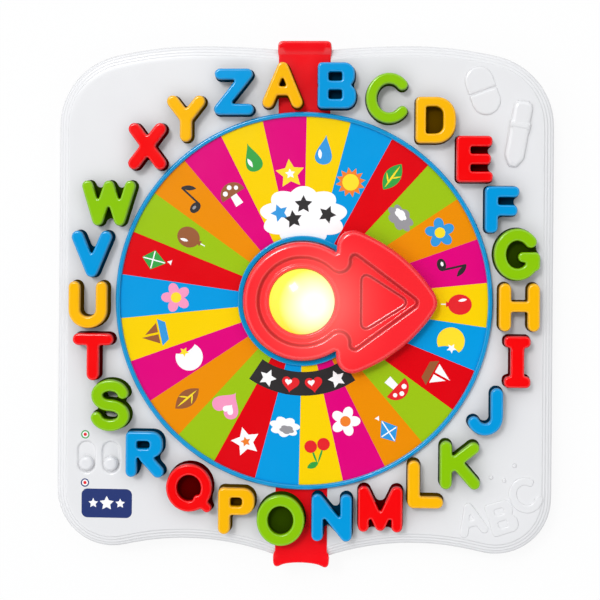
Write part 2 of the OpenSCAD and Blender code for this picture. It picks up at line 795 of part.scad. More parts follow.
module rear_cover() {
    box_out = [box_in_w + 2 * box_wall, box_in_l + 2 * box_wall];
    color(SNOW)
        place()
            difference() {
                union() {
                    difference() {
                        edge_slab(0, z_back, z_part);
                        edge_slab(wall_t, z_floor, z_part + over);
                    }
                    for (p = housing_boss_pos)
                        translate(p)
                            rod(boss_r + tower_w, z_floor - bite, z_part);
                    for (p = main_hole_pos)
                        translate(p)
                            rod(small_boss_r, z_floor - bite, main_board_z);
                    for (p = encoder_hole_pos)
                        translate(p)
                            rod(small_boss_r, z_floor - bite, z_encoder);
                    translate(speaker_pos)
                        tube(speaker_r + speaker_seat_w, speaker_r - speaker_seat_w,
                             z_floor - bite, z_floor + speaker_seat_h);
                    translate([0, box_y])
                        block(box_out, z_floor - bite, z_box_roof + box_wall);
                }
                for (p = housing_boss_pos)
                    translate(p) {
                        rod(screw_r + fit_gap, z_back - over, z_part + over);
                        rod(screw_head_r + fit_gap, z_back - over, z_part - head_seat);
                    }
                for (p = main_hole_pos)
                    translate(p)
                        rod(screw_r + screw_gap, z_floor, main_board_z + over);
                for (p = encoder_hole_pos)
                    translate(p)
                        rod(screw_r + screw_gap, z_floor, z_encoder + over);
                for (p = hub_hole_pos)
                    translate(p)
                        rod(screw_r + screw_gap, z_back + skin_t, z_floor + over);
                for (p = foot_pos)
                    translate(p)
                        rod(foot_r + fit_gap, z_back - over, z_back + foot_seat);
                for (k = [0 : grille_count - 1])
                    translate(speaker_pos + [0, (k - (grille_count - 1) / 2) * grille_pitch])
                        block([grille_len(k), grille_w], z_back - over, z_floor + over);
                translate([0, box_y]) {
                    block([box_in_w, box_in_l], z_back + skin_t, z_box_roof);
                    block(door_size + 2 * [fit_gap, fit_gap], z_back - over, z_back + door_t + fit_gap);
                }
                translate([0, box_y - door_screw_y])
                    rod(screw_r + screw_gap, z_back, z_floor - screw_tip);
            }
}

// Length of one slot of the grille, as a chord of the speaker's circle
function grille_len(k) =
    2 * sqrt(pow(speaker_r - grille_in, 2) - pow((k - (grille_count - 1) / 2) * grille_pitch, 2));

door_size = [box_in_w + 2 * door_ledge, box_in_l + 2 * door_ledge + door_tab];
door_screw_y = box_in_l / 2 + door_ledge + 1;

module battery_door() {
    color(SNOW)
        place([0, box_y])
            difference() {
                union() {
                    block(door_size, z_back, z_back + door_t);
                    for (s = [-1, 1])
                        translate([s * box_in_w / 4, 0])
                            block([door_rib_w, box_in_l - door_rib_in], z_back + door_t - bite, z_floor);
                }
                translate([0, -door_screw_y])
                    rod(screw_r + fit_gap, z_back - over, z_floor);
                translate([0, -door_screw_y])
                    rod(screw_head_r + fit_gap, z_back - over, z_back + door_head_h);
            }
}

module battery_door_screw()
    color(STEEL)
        place([0, box_y - door_screw_y]) {
            rod(screw_head_r, z_back + door_head_sunk, z_back + door_head_h);
            rod(screw_r, z_back + door_head_h - bite, z_floor - screw_tip - fit_gap);
        }

module batteries()
    color(LEAF)
        for (k = [0 : cell_count - 1])
            place([cell_x(k), box_y])
                translate([0, -cell_l / 2, z_cells])
                    rotate([-90, 0, 0]) {
                        cylinder(r = cell_r, h = cell_l - cell_nub_h);
                        cylinder(r = cell_nub_r, h = cell_l);
                    }

function cell_x(k) = (k - (cell_count - 1) / 2) * (2 * cell_r + cell_gap);

// Flat contact springs at both ends of each cell
module battery_contacts()
    color(STEEL)
        for (k = [0 : cell_count - 1], s = [-1, 1])
            place([cell_x(k), box_y + s * (cell_l / 2 + contact_room - contact_t)])
                translate([-cell_r / 2, -contact_t / 2, z_cells - cell_r / 2]) {
                    cube([cell_r, contact_t, cell_r]);
                    translate([cell_r / 4, s > 0 ? -contact_bump : contact_t - bite, cell_r / 4])
                        cube([cell_r / 2, contact_bump + bite, cell_r / 2]);
                }

contact_bump = contact_room - 1.5 * contact_t - contact_clear;

module rubber_feet()
    color("dimgray")
        for (p = foot_pos)
            place(p)
                rod(foot_r, 0, z_back + foot_seat);

// Brackets

// A bracket from above: tongue, lip over the edge and bosses below; dir is 1 at the top
module bracket_body(dir, reach, bosses) {
    difference() {
        union() {
            translate([0, 0, z_face - tongue_t])
                linear_extrude(tongue_t)
                    tongue_shape(dir, reach - lip_l + over, 0);
            for (p = bosses)
                translate(p)
                    rod(boss_r, z_plate, z_face - tongue_t + bite);
        }
        for (p = bosses)
            translate(p)
                rod(screw_r + screw_gap, z_plate - over, z_face - screw_cover);
    }
}

module top_bracket()
    color(RED)
        place()
            difference() {
                union() {
                    bracket_body(1, bracket_top_reach, top_boss_pos);
                    translate([0, bracket_top_reach - lip_l / 2])
                        linear_extrude_at(z_face + fit_gap, lip_h)
                            plate(-lip_w / 2, -lip_l / 2, lip_w / 2, lip_l / 2, lip_round, lip_round);
                    translate([0, bracket_top_reach - (lip_l + lip_round) / 2])
                        block([tongue_w, lip_l - lip_round], z_face - tongue_t, z_face + lip_h / 2);
                    bracket_skirt(1, bracket_top_reach);
                }
                peg_cuts();
            }

module linear_extrude_at(z, h)
    translate([0, 0, z])
        linear_extrude(h)
            children();

// The part of a bracket that reaches down outside the board's edge
module bracket_skirt(dir, reach)
    difference() {
        translate([0, dir * (reach - skirt_l / 2)])
            block([tongue_w, skirt_l], z_part + skirt_gap, z_face + lip_h / 2);
        edge_slab(-fit_gap, z_back, z_face - tongue_t);
        edge_slab(rim_step_w, z_face - tongue_t - over, z_face + lip_h);
    }

module peg_cuts()
    for (p = peg_pos)
        translate(p)
            rod(peg_r + fit_gap, z_plate - over, z_face + over);

lobe_x = tongue_w / 2 - tongue_side_in;
lobe_dip = 4;
flare_w = lip_w + 2;
flare_round = 3;
lip_round = 2;
skirt_l = 10;
skirt_gap = 2;

// The bottom bracket's end has two lobes with a hollow between them
module bottom_bracket()
    color(RED)
        place()
            difference() {
                union() {
                    bracket_body(-1, bracket_bottom_reach, bottom_boss_pos);
                    linear_extrude_at(z_face - tongue_t, tongue_t + lip_h / 2)
                        difference() {
                            translate([0, lip_l / 2 - bracket_bottom_reach])
                                plate(-flare_w / 2, -lip_l / 2, flare_w / 2, lip_l / 2,
                                      flare_round, flare_round);
                            translate([0, -bracket_bottom_reach])
                                scale([1, lobe_dip / lobe_x])
                                    circle(r = lobe_x);
                        }
                    bracket_skirt(-1, bracket_bottom_reach - lobe_dip);
                }
                peg_cuts();
            }

// Dial

module dial_base()
    color(SKY)
        place()
            difference() {
                union() {
                    rod(dial_r, z_face, z_dial);
                    tube(dial_r, dial_r - dial_rim_w, z_face, z_face + dial_rim_h);
                    tube(collar_r, collar_r - collar_w, z_face, z_collar);
                    for (p = dial_boss_pos)
                        translate(p)
                            rod(boss_r, z_plate, z_face + bite);
                }
                rod(sleeve_r + free_gap, z_plate, z_collar + over);
                for (p = dial_boss_pos)
                    translate(p)
                        rod(screw_r + screw_gap, z_plate - over, z_dial - screw_cover);
            }

// Printed disc between the collar and the rim
module dial_label()
    color(PINK)
        place()
            tube(dial_r - dial_rim_w - fit_gap, collar_r + fit_gap, z_dial, z_label);

// Pointer and hub

pocket_in = 11.6;
pocket_tip_in = 16.8;
pocket_corner = 3;
notch_in = 19.5;
notch_tip_in = 23.3;
notch_round = 4;
side_y = sqrt(arrow_side_r * arrow_side_r - arrow_reach * arrow_reach);

module arrow_shape()
    offset(r = arrow_round, $fn = 60)
        offset(delta = -arrow_round)
            intersection() {
                translate([0, -side_y])
                    circle(r = arrow_side_r, $fn = 160);
                translate([0, side_y])
                    circle(r = arrow_side_r, $fn = 160);
                translate([arrow_back, -arrow_reach])
                    square(2 * arrow_reach);
            }

// A triangle that points along the arrow, with rounded corners
module triangle_shape(back, tip, width, corner)
    offset(r = corner, $fn = 40)
        offset(delta = -corner)
            polygon([[back, width / 2], [tip, 0], [back, -width / 2]]);

// The groove round the button and the arrow's pocket, with rounded corners where they meet
module pocket_shape(groove_r)
    offset(r = -pocket_round, $fn = 60)
        offset(delta = pocket_round) {
            circle(r = groove_r);
            triangle_shape(arrow_back + pocket_in, arrow_reach - pocket_tip_in, pocket_w, pocket_corner);
        }

module pointer() {
    z_low = z_label + free_gap;
    z_arrow = z_collar + free_gap;
    lip_r = button_r + free_gap + button_lip_w;
    color(RED)
        place()
            difference() {
                union() {
                    rod(hub_ring_r, z_low, z_pointer);
                    linear_extrude_at(z_arrow, z_pointer - z_arrow)
                        arrow_shape();
                    rod(sleeve_r, z_sleeve, z_low + bite);
                }
                difference() {
                    linear_extrude_at(z_pointer - pocket_depth, pocket_depth + over)
                        pocket_shape(hub_ring_r - border_w);
                    rod(lip_r, z_low, z_pointer - lip_sunk);
                }
                linear_extrude_at(z_pointer - pocket_depth - notch_depth, pocket_depth)
                    triangle_shape(arrow_back + notch_in, arrow_reach - notch_tip_in, notch_w, notch_round);
                rod(bore_r, z_sleeve - over, z_pointer);
                rod(button_r + free_gap, z_shoulder, z_pointer + over);
            }
}

module wiper_disc()
    color("ivory")
        place() {
            tube(disc_r, bore_r + free_gap, z_disc, z_sleeve);
        }

module wiper_fingers()
    color("goldenrod")
        place()
            for (k = [0 : 2])
                rotate(120 * k) {
                    translate([finger_x, -finger_w / 2, z_disc - finger_t])
                        cube([finger_l, finger_w, finger_t]);
                    translate([finger_x, -finger_w / 2, z_encoder + board_t + finger_clear])
                        cube([finger_tip, finger_w, z_disc - z_encoder - board_t - finger_clear]);
                }

module light_button()
    color(SUN)
        place()
            difference() {
                union() {
                    rod(button_r, z_button, z_button_edge);
                    intersection() {
                        translate([0, 0, z_button_edge + dome_h - dome_r])
                            sphere(r = dome_r);
                        rod(button_r, z_button_edge - bite, z_button_edge + dome_h + over);
                    }
                    rod(stem_r, z_stem, z_button + bite);
                }
                difference() {
                    rod(stem_r - stem_wall, z_stem - over, z_stem_top);
                    rod(plunger_r, z_plunger + button_travel + press_gap, z_stem_top + over);
                }
            }

plunger_r = 3;
switch_size = [12, 12];
switch_h = 4;
plunger_h = 1;
z_plunger = z_button_board + board_t + switch_h + plunger_h;

module push_switch()
    color("dimgray")
        place() {
            block(switch_size, z_button_board + board_t, z_button_board + board_t + switch_h);
            rod(plunger_r, z_button_board + board_t + switch_h - bite, z_plunger);
        }

module lamps()
    color(SNOW)
        for (s = [-1, 1])
            place([s * lamp_x, 0]) {
                rod(lamp_r, z_button_board + board_t, z_button_board + board_t + lamp_h);
                translate([0, 0, z_button_board + board_t + lamp_h])
                    sphere(r = lamp_r);
            }

lamp_x = 10.5;
lamp_r = 2.2;
lamp_h = 4;

// Points of the spring's wire: rings along a helix with closed end turns
spring_gap = 0.05;
spring_z0 = z_button_board + board_t + spring_wire / 2 + spring_gap;
spring_z1 = z_stem_top - spring_wire / 2 - spring_gap;
SPRING_RINGS = 16;
SPRING_SIDES = 6;
spring_steps = spring_turns * SPRING_RINGS;

function spring_pt(i, j) =
    let (
        a = 360 * i / SPRING_RINGS,
        b = 360 * j / SPRING_SIDES,
        r = spring_r + spring_wire / 2 * cos(b),
        z = spring_z0 + (spring_z1 - spring_z0) * i / spring_steps + spring_wire / 2 * sin(b)
    )
    [r * cos(a), r * sin(a), z];

module button_spring() {
    n = SPRING_SIDES;
    pts = [for (i = [0 : spring_steps], j = [0 : n - 1]) spring_pt(i, j)];
    walls = [for (i = [0 : spring_steps - 1], j = [0 : n - 1], half = [0, 1])
        let (a = i * n + j, b = i * n + (j + 1) % n, c = a + n, d = b + n)
        half == 0 ? [a, b, d] : [a, d, c]];
    ends = concat(
        [for (j = [1 : n - 2]) [0, j + 1, j]],
        [for (j = [1 : n - 2]) let (e = spring_steps * n) [e, e + j, e + j + 1]]
    );
    color(STEEL)
        place()
            polyhedron(points = pts, faces = concat(walls, ends));
}

module hub_post()
    color("ivory")
        place()
            difference() {
                union() {
                    rod(post_r, z_floor, z_post_top);
                    rod(hub_flange_r, z_floor, z_floor + hub_flange_t);
                }
                rod(post_in_r, z_button_board, z_post_top + over);
                rod(post_in_r - ledge_w, z_floor - over, z_post_top);
                for (p = hub_hole_pos)
                    translate(p)
                        rod(screw_r + fit_gap, z_floor - over, z_floor + hub_flange_t + over);
            }

module button_board()
    color(BOARD)
        place()
            rod(post_in_r - fit_gap, z_button_board, z_button_board + board_t);

// Electronics

module encoder_board()
    color(BOARD)
        place()
            difference() {
                tube(encoder_out_r, encoder_in_r, z_encoder, z_encoder + board_t);
                for (p = encoder_hole_pos)
                    translate(p)
                        rod(screw_r + fit_gap, z_encoder - over, z_encoder + board_t + over);
            }

module main_board()
    color(BOARD)
        place()
            difference() {
                translate(main_board_pos)
                    block(main_board_size, main_board_z, main_board_z + board_t);
                for (p = main_hole_pos)
                    translate(p)
                        rod(screw_r + fit_gap, main_board_z - over, main_board_z + board_t + over);
            }

chip_r = 8;
chip_h = 2;
blob_r = (chip_r * chip_r + chip_h * chip_h) / (2 * chip_h);

// A blob of black resin over the bare chip
module sound_chip()
    color("black")
        place(main_board_pos)
            difference() {
                translate([0, 0, main_board_z + board_t + chip_h - blob_r])
                    sphere(r = blob_r);
                block(4 * [blob_r, blob_r], -4 * blob_r, main_board_z + board_t);
            }

z_speaker = z_floor + speaker_seat_h;
basket_w = 4;
basket_t = 1.4;
cone_t = 1;
cone_clear = 0.4;

// A shallow cone with its mouth down, drawn as a ring turned about its axis
module speaker_frame()
    color(STEEL)
        place(speaker_pos)
            translate([0, 0, z_speaker])
                rotate_extrude()
                    polygon([
                        [speaker_r - basket_w, 0],
                        [speaker_r, 0],
                        [speaker_r, speaker_flange_t],
                        [speaker_r - basket_w / 2, speaker_flange_t],
                        [magnet_r, speaker_depth],
                        [magnet_r - basket_w, speaker_depth],
                        [magnet_r - basket_w, speaker_depth - basket_t],
                        [magnet_r - basket_w / 4, speaker_depth - basket_t]
                    ]);

module speaker_cone()
    color("black")
        place(speaker_pos)
            translate([0, 0, z_speaker + fit_gap])
                rotate_extrude()
                    polygon([
                        [speaker_r - basket_w - 2 * cone_t, 0],
                        [speaker_r - basket_w - cone_clear, 0],
                        [magnet_r - basket_t - fit_gap, speaker_depth - 2 * cone_t],
                        [0, speaker_depth - 2 * cone_t],
                        [0, speaker_depth - 3 * cone_t],
                        [magnet_r - 3 * cone_t, speaker_depth - 3 * cone_t]
                    ]);

module speaker_magnet()
    color(STEEL)
        place(speaker_pos)
            rod(magnet_r, z_speaker + speaker_depth, z_speaker + speaker_depth + magnet_h);

// Knobs

stem_w = 4.4;
stem_l = 5;
knob_rest = -knob_travel / 2;
slot_size = [stem_w, stem_l + knob_travel] + 2 * [fit_gap, fit_gap];

module knob(k)
    color(SNOW)
        place(knob_pos[k] + [0, knob_rest]) {
            rod(knob_r, z_face - recess_depth + fit_gap, z_face + knob_edge);
            intersection() {
                translate([0, 0, z_face + knob_edge - knob_r])
                    sphere(r = knob_r * sqrt(2));
                rod(knob_r, z_face + knob_edge - bite, z_face + 3 * knob_r);
            }
            block([stem_w, stem_l], z_switch_can + can_h - stem_dip, z_face - recess_depth + fit_gap + bite);
        }

can_h = 4.2;
stem_dip = 1;
can_lip = 0.4;
knob_edge = 0.4;

module language_knob() knob(0);

module volume_knob() knob(1);

module slide_switches()
    color(STEEL)
        for (p = knob_pos)
            place(p)
                difference() {
                    block(can_size + [0, stem_l], z_switch_board + board_t, z_switch_can + can_h - can_lip);
                    block(slot_size, z_switch_can + can_h - stem_dip - 1.5 * can_lip, z_face);
                }

module switch_board()
    color(BOARD)
        place()
            difference() {
                translate([knob_mid_x, knob_mid_y])
                    block(switch_board_size, z_switch_board, z_switch_board + board_t);
                for (p = switch_hole_pos)
                    translate(p)
                        rod(screw_r + fit_gap, z_switch_board - over, z_switch_board + board_t + over);
            }

// Fasteners

module housing_screws()
    color(STEEL)
        for (p = housing_boss_pos)
            place(p)
                screw_up(z_part - head_seat, head_seat + housing_grip, screw_head_r, screw_head_h);

// Washer-headed screws that hold the dial and the brackets from inside
module panel_screws()
    color(STEEL)
        for (p = concat(top_boss_pos, bottom_boss_pos, dial_boss_pos))
            place(p)
                screw_up(z_plate, face_t - 2 * screw_cover, washer_head_r, washer_head_h);

module board_screws()
    color(STEEL) {
        for (p = main_hole_pos)
            place(p)
                screw_down(main_board_z + board_t, board_grip);
        for (p = encoder_hole_pos)
            place(p)
                screw_down(z_encoder + board_t, board_grip);
        for (p = hub_hole_pos)
            place(p)
                screw_down(z_floor + hub_flange_t, hub_flange_t + floor_t - skin_t - screw_tip);
        for (p = switch_hole_pos)
            place(p)
                screw_up(z_switch_board, board_t + screw_stop, screw_head_r, screw_head_h);
    }

// Leads along the floor: straight runs of square-cornered ribbon cable
lead_t = 1.2;
lead_w = 6;
lead_gap = 0.1;
lead_rise = 20;
lead_shift = 12;
lead_box_x = -box_in_w / 2 - box_wall - lead_w / 2 - lead_gap;
lead_speaker_x = speaker_pos.x - speaker_r - speaker_seat_w - lead_w / 2 - lead_gap;
module lead(p, q)
    place((p + q) / 2)
        block([abs(q.x - p.x) + lead_w, abs(q.y - p.y) + lead_w], z_floor, z_floor + lead_t);

module wiring()
    color("slategray") {
        lead(main_board_pos, [main_board_pos.x, box_y + lead_rise]);
        lead([main_board_pos.x, box_y + lead_rise], [lead_box_x, box_y + lead_rise]);
        lead(main_board_pos + [0, lead_shift], [lead_speaker_x, main_board_pos.y + lead_shift]);
    }

front_cover();
rear_cover();
top_bracket();
bottom_bracket();
dial_base();
dial_label();
pointer();
wiper_disc();
wiper_fingers();
light_button();
button_spring();
hub_post();
button_board();
push_switch();
lamps();
encoder_board();
main_board();
sound_chip();
speaker_frame();
speaker_cone();
speaker_magnet();
batteries();
battery_contacts();
battery_door();
battery_door_screw();
language_knob();
volume_knob();
switch_board();
slide_switches();
housing_screws();
panel_screws();
board_screws();
wiring();
rubber_feet();
for (i = [0 : letter_count - 1])
    letter(i);
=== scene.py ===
"""Alphabet activity board with a spinning pointer, dressed for its studio picture.

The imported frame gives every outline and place, in metres. The board lies on its back, face up.
Each visible piece is a profile carried along one of the frame's outlines, so that its edges are
rounded as a moulding's are, and it replaces the plain solid that it stands for.
"""

import json
import logging
import math
from dataclasses import dataclass
from enum import Enum
from typing import Sequence

import bmesh
import bpy
import numpy as np
from mathutils import Matrix, Vector
from mathutils.geometry import delaunay_2d_cdt


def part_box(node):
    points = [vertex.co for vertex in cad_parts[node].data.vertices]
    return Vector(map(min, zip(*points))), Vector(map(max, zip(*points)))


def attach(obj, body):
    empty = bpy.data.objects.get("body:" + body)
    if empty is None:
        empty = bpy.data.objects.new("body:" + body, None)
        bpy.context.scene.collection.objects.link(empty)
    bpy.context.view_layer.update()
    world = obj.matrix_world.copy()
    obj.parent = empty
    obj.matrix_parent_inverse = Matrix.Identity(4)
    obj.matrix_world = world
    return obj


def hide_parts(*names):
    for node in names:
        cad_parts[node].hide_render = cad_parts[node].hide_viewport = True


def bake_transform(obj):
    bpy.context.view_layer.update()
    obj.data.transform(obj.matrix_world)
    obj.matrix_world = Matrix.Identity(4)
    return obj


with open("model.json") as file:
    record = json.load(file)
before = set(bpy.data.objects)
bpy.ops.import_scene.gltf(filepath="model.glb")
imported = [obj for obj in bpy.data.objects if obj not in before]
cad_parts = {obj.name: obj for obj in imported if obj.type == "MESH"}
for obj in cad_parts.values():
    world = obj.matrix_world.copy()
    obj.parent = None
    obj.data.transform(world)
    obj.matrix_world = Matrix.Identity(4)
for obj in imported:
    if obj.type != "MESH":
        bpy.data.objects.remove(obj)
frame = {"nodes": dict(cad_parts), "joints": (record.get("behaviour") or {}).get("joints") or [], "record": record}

LOG = logging.getLogger("activity_board")
MM = 0.001
FULL_TURN = 2 * math.pi
PRINT_LEAN = math.radians(-0.8)
LETTER_RISE, WEB_RISE, SEAT = 13.0, 4.0, 0.1
BLACK, WHITE = (0.0, 0.0, 0.0), (1.0, 1.0, 1.0)
ORIGIN = (0.0, 0.0)
CLOUD_SCALE, SKIN_SCALE, WEAR_SCALE = 14.0, 900.0, 60.0
WEAR, COAT_BLUR, SKIN_DEPTH = 0.12, 0.12, 0.2 * MM
LEVEL_GAP = 0.02 * MM
SAME_POINT, WELD, SLIVER = 1e-8, 1e-7, 1e-10
KNOBS = ("language_knob", "volume_knob")


def linear(red: int, green: int, blue: int) -> tuple[float, float, float]:
    """Turns a colour as a screen writes it into the linear values of a shader.

    Args:
        red: Red from 0 to 255.
        green: Green from 0 to 255.
        blue: Blue from 0 to 255.

    Returns:
        The three linear values.
    """
    part = np.array([red, green, blue]) / 255
    value = np.where(part <= 0.04045, part / 12.92, ((part + 0.055) / 1.055) ** 2.4)
    return tuple(float(v) for v in value)


def opaque(colour: Sequence[float], share: float = 1.0) -> tuple[float, float, float, float]:
    """A colour made darker or paler by a share, with full alpha."""
    return (*(min(1.0, part * share) for part in colour), 1.0)


# Shader sheets


class Val:
    """A shader value; Python operators on it add Math nodes to its sheet."""

    def __init__(self, sheet: "Sheet", socket: bpy.types.NodeSocket) -> None:
        """Keeps the sheet and the socket that gives the value."""
        self.sheet = sheet
        self.socket = socket

    def _math(self, operation: str, *others: "Val | float", first: bool = True) -> "Val":
        """Adds one Math node.

        Args:
            operation: The node's operation.
            others: The other operands.
            first: True where this value is the first operand.

        Returns:
            The node's result.
        """
        operands = (self, *others) if first else (*others, self)
        made = self.sheet.node("ShaderNodeMath", {"operation": operation}, dict(enumerate(operands)))
        return Val(self.sheet, made.outputs[0])

    def __add__(self, other: "Val | float") -> "Val":
        """Sum."""
        return self._math("ADD", other)

    __radd__ = __add__

    def __sub__(self, other: "Val | float") -> "Val":
        """Difference."""
        return self._math("SUBTRACT", other)

    def __rsub__(self, other: "Val | float") -> "Val":
        """Difference, with this value taken away."""
        return self._math("SUBTRACT", other, first=False)

    def __mul__(self, other: "Val | float") -> "Val":
        """Product."""
        return self._math("MULTIPLY", other)

    __rmul__ = __mul__

    def __truediv__(self, other: "Val | float") -> "Val":
        """Quotient."""
        return self._math("DIVIDE", other)

    def __mod__(self, other: "Val | float") -> "Val":
        """Remainder, never below zero."""
        return self._math("FLOORED_MODULO", other)

    def floor(self) -> "Val":
        """The whole part."""
        return self._math("FLOOR")

    def root(self) -> "Val":
        """The square root."""
        return self._math("SQRT")

    def turn_from(self, across: "Val") -> "Val":
        """The angle, in radians, of a point with this height and that distance across."""
        return self._math("ARCTAN2", across)


class Sheet:
    """The node tree of one material."""

    def __init__(self, name: str) -> None:
        """Makes an empty node material.

        Args:
            name: The material's name.
        """
        self.material = bpy.data.materials.new(name)
        self.material.use_nodes = True
        self.tree = self.material.node_tree
        self.tree.nodes.clear()

    @classmethod
    def of(cls, tree: bpy.types.NodeTree) -> "Sheet":
        """A sheet on a tree that is there already, emptied."""
        sheet = cls.__new__(cls)
        sheet.tree = tree
        tree.nodes.clear()
        return sheet

    def node(self, kind: str, settings: dict | None = None, inputs: dict | None = None) -> bpy.types.Node:
        """Adds any node.

        Args:
            kind: The node's type.
            settings: Properties that are set first; "stops" gives a ramp's colour stops.
            inputs: Sockets by name or number, each with a value or a link.

        Returns:
            The node.
        """
        made = self.tree.nodes.new(kind)
        for key, value in (settings or {}).items():
            if key == "stops":
                self._stops(made.color_ramp, value)
            else:
                setattr(made, key, value)
        for key, value in (inputs or {}).items():
            source = value.socket if isinstance(value, Val) else value
            if isinstance(source, bpy.types.NodeSocket):
                self.tree.links.new(source, made.inputs[key])
            else:
                made.inputs[key].default_value = source
        return made

    @staticmethod
    def _stops(ramp: bpy.types.ColorRamp, stops: Sequence[tuple[float, tuple]]) -> None:
        """Gives a ramp its colour stops."""
        while len(ramp.elements) < len(stops):
            ramp.elements.new(1.0)
        for element, (place, colour) in zip(ramp.elements, stops):
            element.position = place
            element.color = opaque(colour)

    def place(self) -> tuple[bpy.types.NodeSocket, Val, Val, Val]:
        """Object coordinates: the vector and its three parts."""
        vector = self.node("ShaderNodeTexCoord").outputs["Object"]
        parts = self.node("ShaderNodeSeparateXYZ", None, {0: vector}).outputs
        return vector, Val(self, parts["X"]), Val(self, parts["Y"]), Val(self, parts["Z"])

    def noise(self, vector: bpy.types.NodeSocket, scale: float, detail: float = 3.0) -> Val:
        """A noise value over Object coordinates."""
        made = self.node("ShaderNodeTexNoise", None, {"Vector": vector, "Scale": scale, "Detail": detail})
        return Val(self, made.outputs[0])

    def wander(
        self, vector: bpy.types.NodeSocket, scale: float, middle: float, spread: float, detail: float = 3.0,
    ) -> Val:
        """A value that noise moves about a middle."""
        return middle + spread * (self.noise(vector, scale, detail) - 0.5)

    def reach(self, centre: Sequence[float]) -> Val:
        """Distance from an upright axis through a centre."""
        _, x, y, _ = self.place()
        across, along = x - centre[0], y - centre[1]
        return (across * across + along * along).root()

    def span(self, value: Val, low: float, high: float, start: float = 0.0, end: float = 1.0) -> Val:
        """Runs from a start to an end as a value goes from low to high, and holds at both."""
        made = self.node("ShaderNodeMapRange", None, dict(enumerate((value, low, high, start, end))))
        return Val(self, made.outputs[0])

    def seen(self) -> Val:
        """One for a ray that shows the background straight, in a gloss or through glass."""
        path = self.node("ShaderNodeLightPath").outputs
        return sum(Val(self, path[f"Is {ray} Ray"]) for ray in ("Camera", "Glossy", "Transmission"))

    def blend(self, factor: "Val | float", low: object, high: object) -> bpy.types.NodeSocket:
        """A colour between two colours."""
        made = self.node("ShaderNodeMix", {"data_type": "RGBA"}, {0: factor, 6: low, 7: high})
        return made.outputs[2]

    def close(self, shader: bpy.types.Node) -> bpy.types.Material:
        """Links a shader to the output and returns the material."""
        self.node("ShaderNodeOutputMaterial", None, {"Surface": shader.outputs[0]})
        return self.material

    def principled(self, inputs: dict) -> bpy.types.Material:
        """Ends the sheet with a Principled shader and returns the material."""
        return self.close(self.node("ShaderNodeBsdfPrincipled", None, inputs))


@dataclass(frozen=True)
class Plastic:
    """Moulded plastic: a colour with faint clouding, a fine skin and a gloss that varies a little."""

    name: str
    colour: tuple[float, float, float]
    gloss: float = 0.28
    coat: float = 0.25
    cloud: float = 0.05
    grain: float = 0.03
    metal: float = 0.0

    def shade(self, sheet: Sheet) -> dict:
        """Makes the sockets that all mouldings share.

        Args:
            sheet: The sheet that takes the nodes.

        Returns:
            The shader's inputs.
        """
        vector, *_ = sheet.place()
        low, high = (opaque(self.colour, share) for share in (1 - self.cloud, 1 + self.cloud))
        skin = sheet.noise(vector, SKIN_SCALE, 2.0)
        bump = sheet.node("ShaderNodeBump", None, {
            "Strength": self.grain, "Distance": SKIN_DEPTH, "Height": skin,
        })
        return {
            "Base Color": sheet.blend(sheet.noise(vector, CLOUD_SCALE), low, high),
            "Roughness": sheet.wander(vector, WEAR_SCALE, self.gloss, WEAR, 5.0),
            "Metallic": self.metal,
            "Coat Weight": self.coat,
            "Coat Roughness": COAT_BLUR,
            "Normal": bump.outputs[0],
        }

    def material(self) -> bpy.types.Material:
        """Builds the node material."""
        sheet = Sheet(self.name)
        return sheet.principled(self.shade(sheet))


@dataclass(frozen=True)
class ShadedLetterPlastic(Plastic):
    """Plastic of a raised letter: full colour on top, with painted shade that darkens it down its walls and in its
    hollows.
    """

    # Painted shade: below the crown the colour falls towards the dark share of itself at the foot.
    foot: float = 40.5 * MM
    crown: float = 44.0 * MM
    dark: float = 0.1

    def material(self) -> bpy.types.Material:
        """Builds the node material: painted shade below, as a dull dark base, and the glossy plastic above."""
        sheet = Sheet(self.name)
        inputs = self.shade(sheet)
        # Painted shade: the share of full colour rises from the foot to the crown.
        lit = sheet.span(sheet.place()[3], self.foot, self.crown)
        inputs["Base Color"] = sheet.blend(lit, opaque(self.colour, self.dark), inputs["Base Color"])
        base = sheet.node("ShaderNodeBsdfDiffuse", None, {"Color": inputs["Base Color"]})
        gloss = sheet.node("ShaderNodeBsdfPrincipled", None, inputs)
        shaders = {0: lit, 1: base.outputs[0], 2: gloss.outputs[0]}
        return sheet.close(sheet.node("ShaderNodeMixShader", None, shaders))


@dataclass(frozen=True)
class GlowRed(Plastic):
    """Glossy plastic round the lit button, with painted light from the button: a warm emitted glow that fades away
    from the middle.
    """

    middle: tuple[float, float] = (0.014, 0.001)
    near: float = 16 * MM
    far: float = 66 * MM
    glow: tuple[float, float, float] = (0.34, 0.12, 0.1)

    def shade(self, sheet: Sheet) -> dict:
        """Makes the shared sockets, with the glow of painted light: its share falls from the button's edge
        outwards.
        """
        inputs = super().shade(sheet)
        fade = sheet.span(sheet.reach(self.middle), self.far, self.near)
        # Painted light: the emission stands for the button's light falling on the pointer.
        inputs["Emission Color"] = sheet.blend(fade * fade, opaque(BLACK), opaque(self.glow))
        inputs["Emission Strength"] = 1.0
        return inputs


@dataclass(frozen=True)
class ShadedHollowRed(GlowRed):
    """The same plastic down the walls of a hollow, with painted shade that is darkest half way down."""

    foot: float = 0.0
    brim: float = 1.0
    dark: float = 0.42

    def shade(self, sheet: Sheet) -> dict:
        """Makes the shared sockets and paints shade: the share of dark is a parabola over the wall's height."""
        inputs = super().shade(sheet)
        rise = (sheet.place()[3] - self.foot) / (self.brim - self.foot)
        # Painted shade: the plastic's colour darkened, mixed in most half way down the wall.
        deep = opaque(self.colour, self.dark)
        inputs["Base Color"] = sheet.blend(4.0 * rise * (1.0 - rise), inputs["Base Color"], deep)
        return inputs


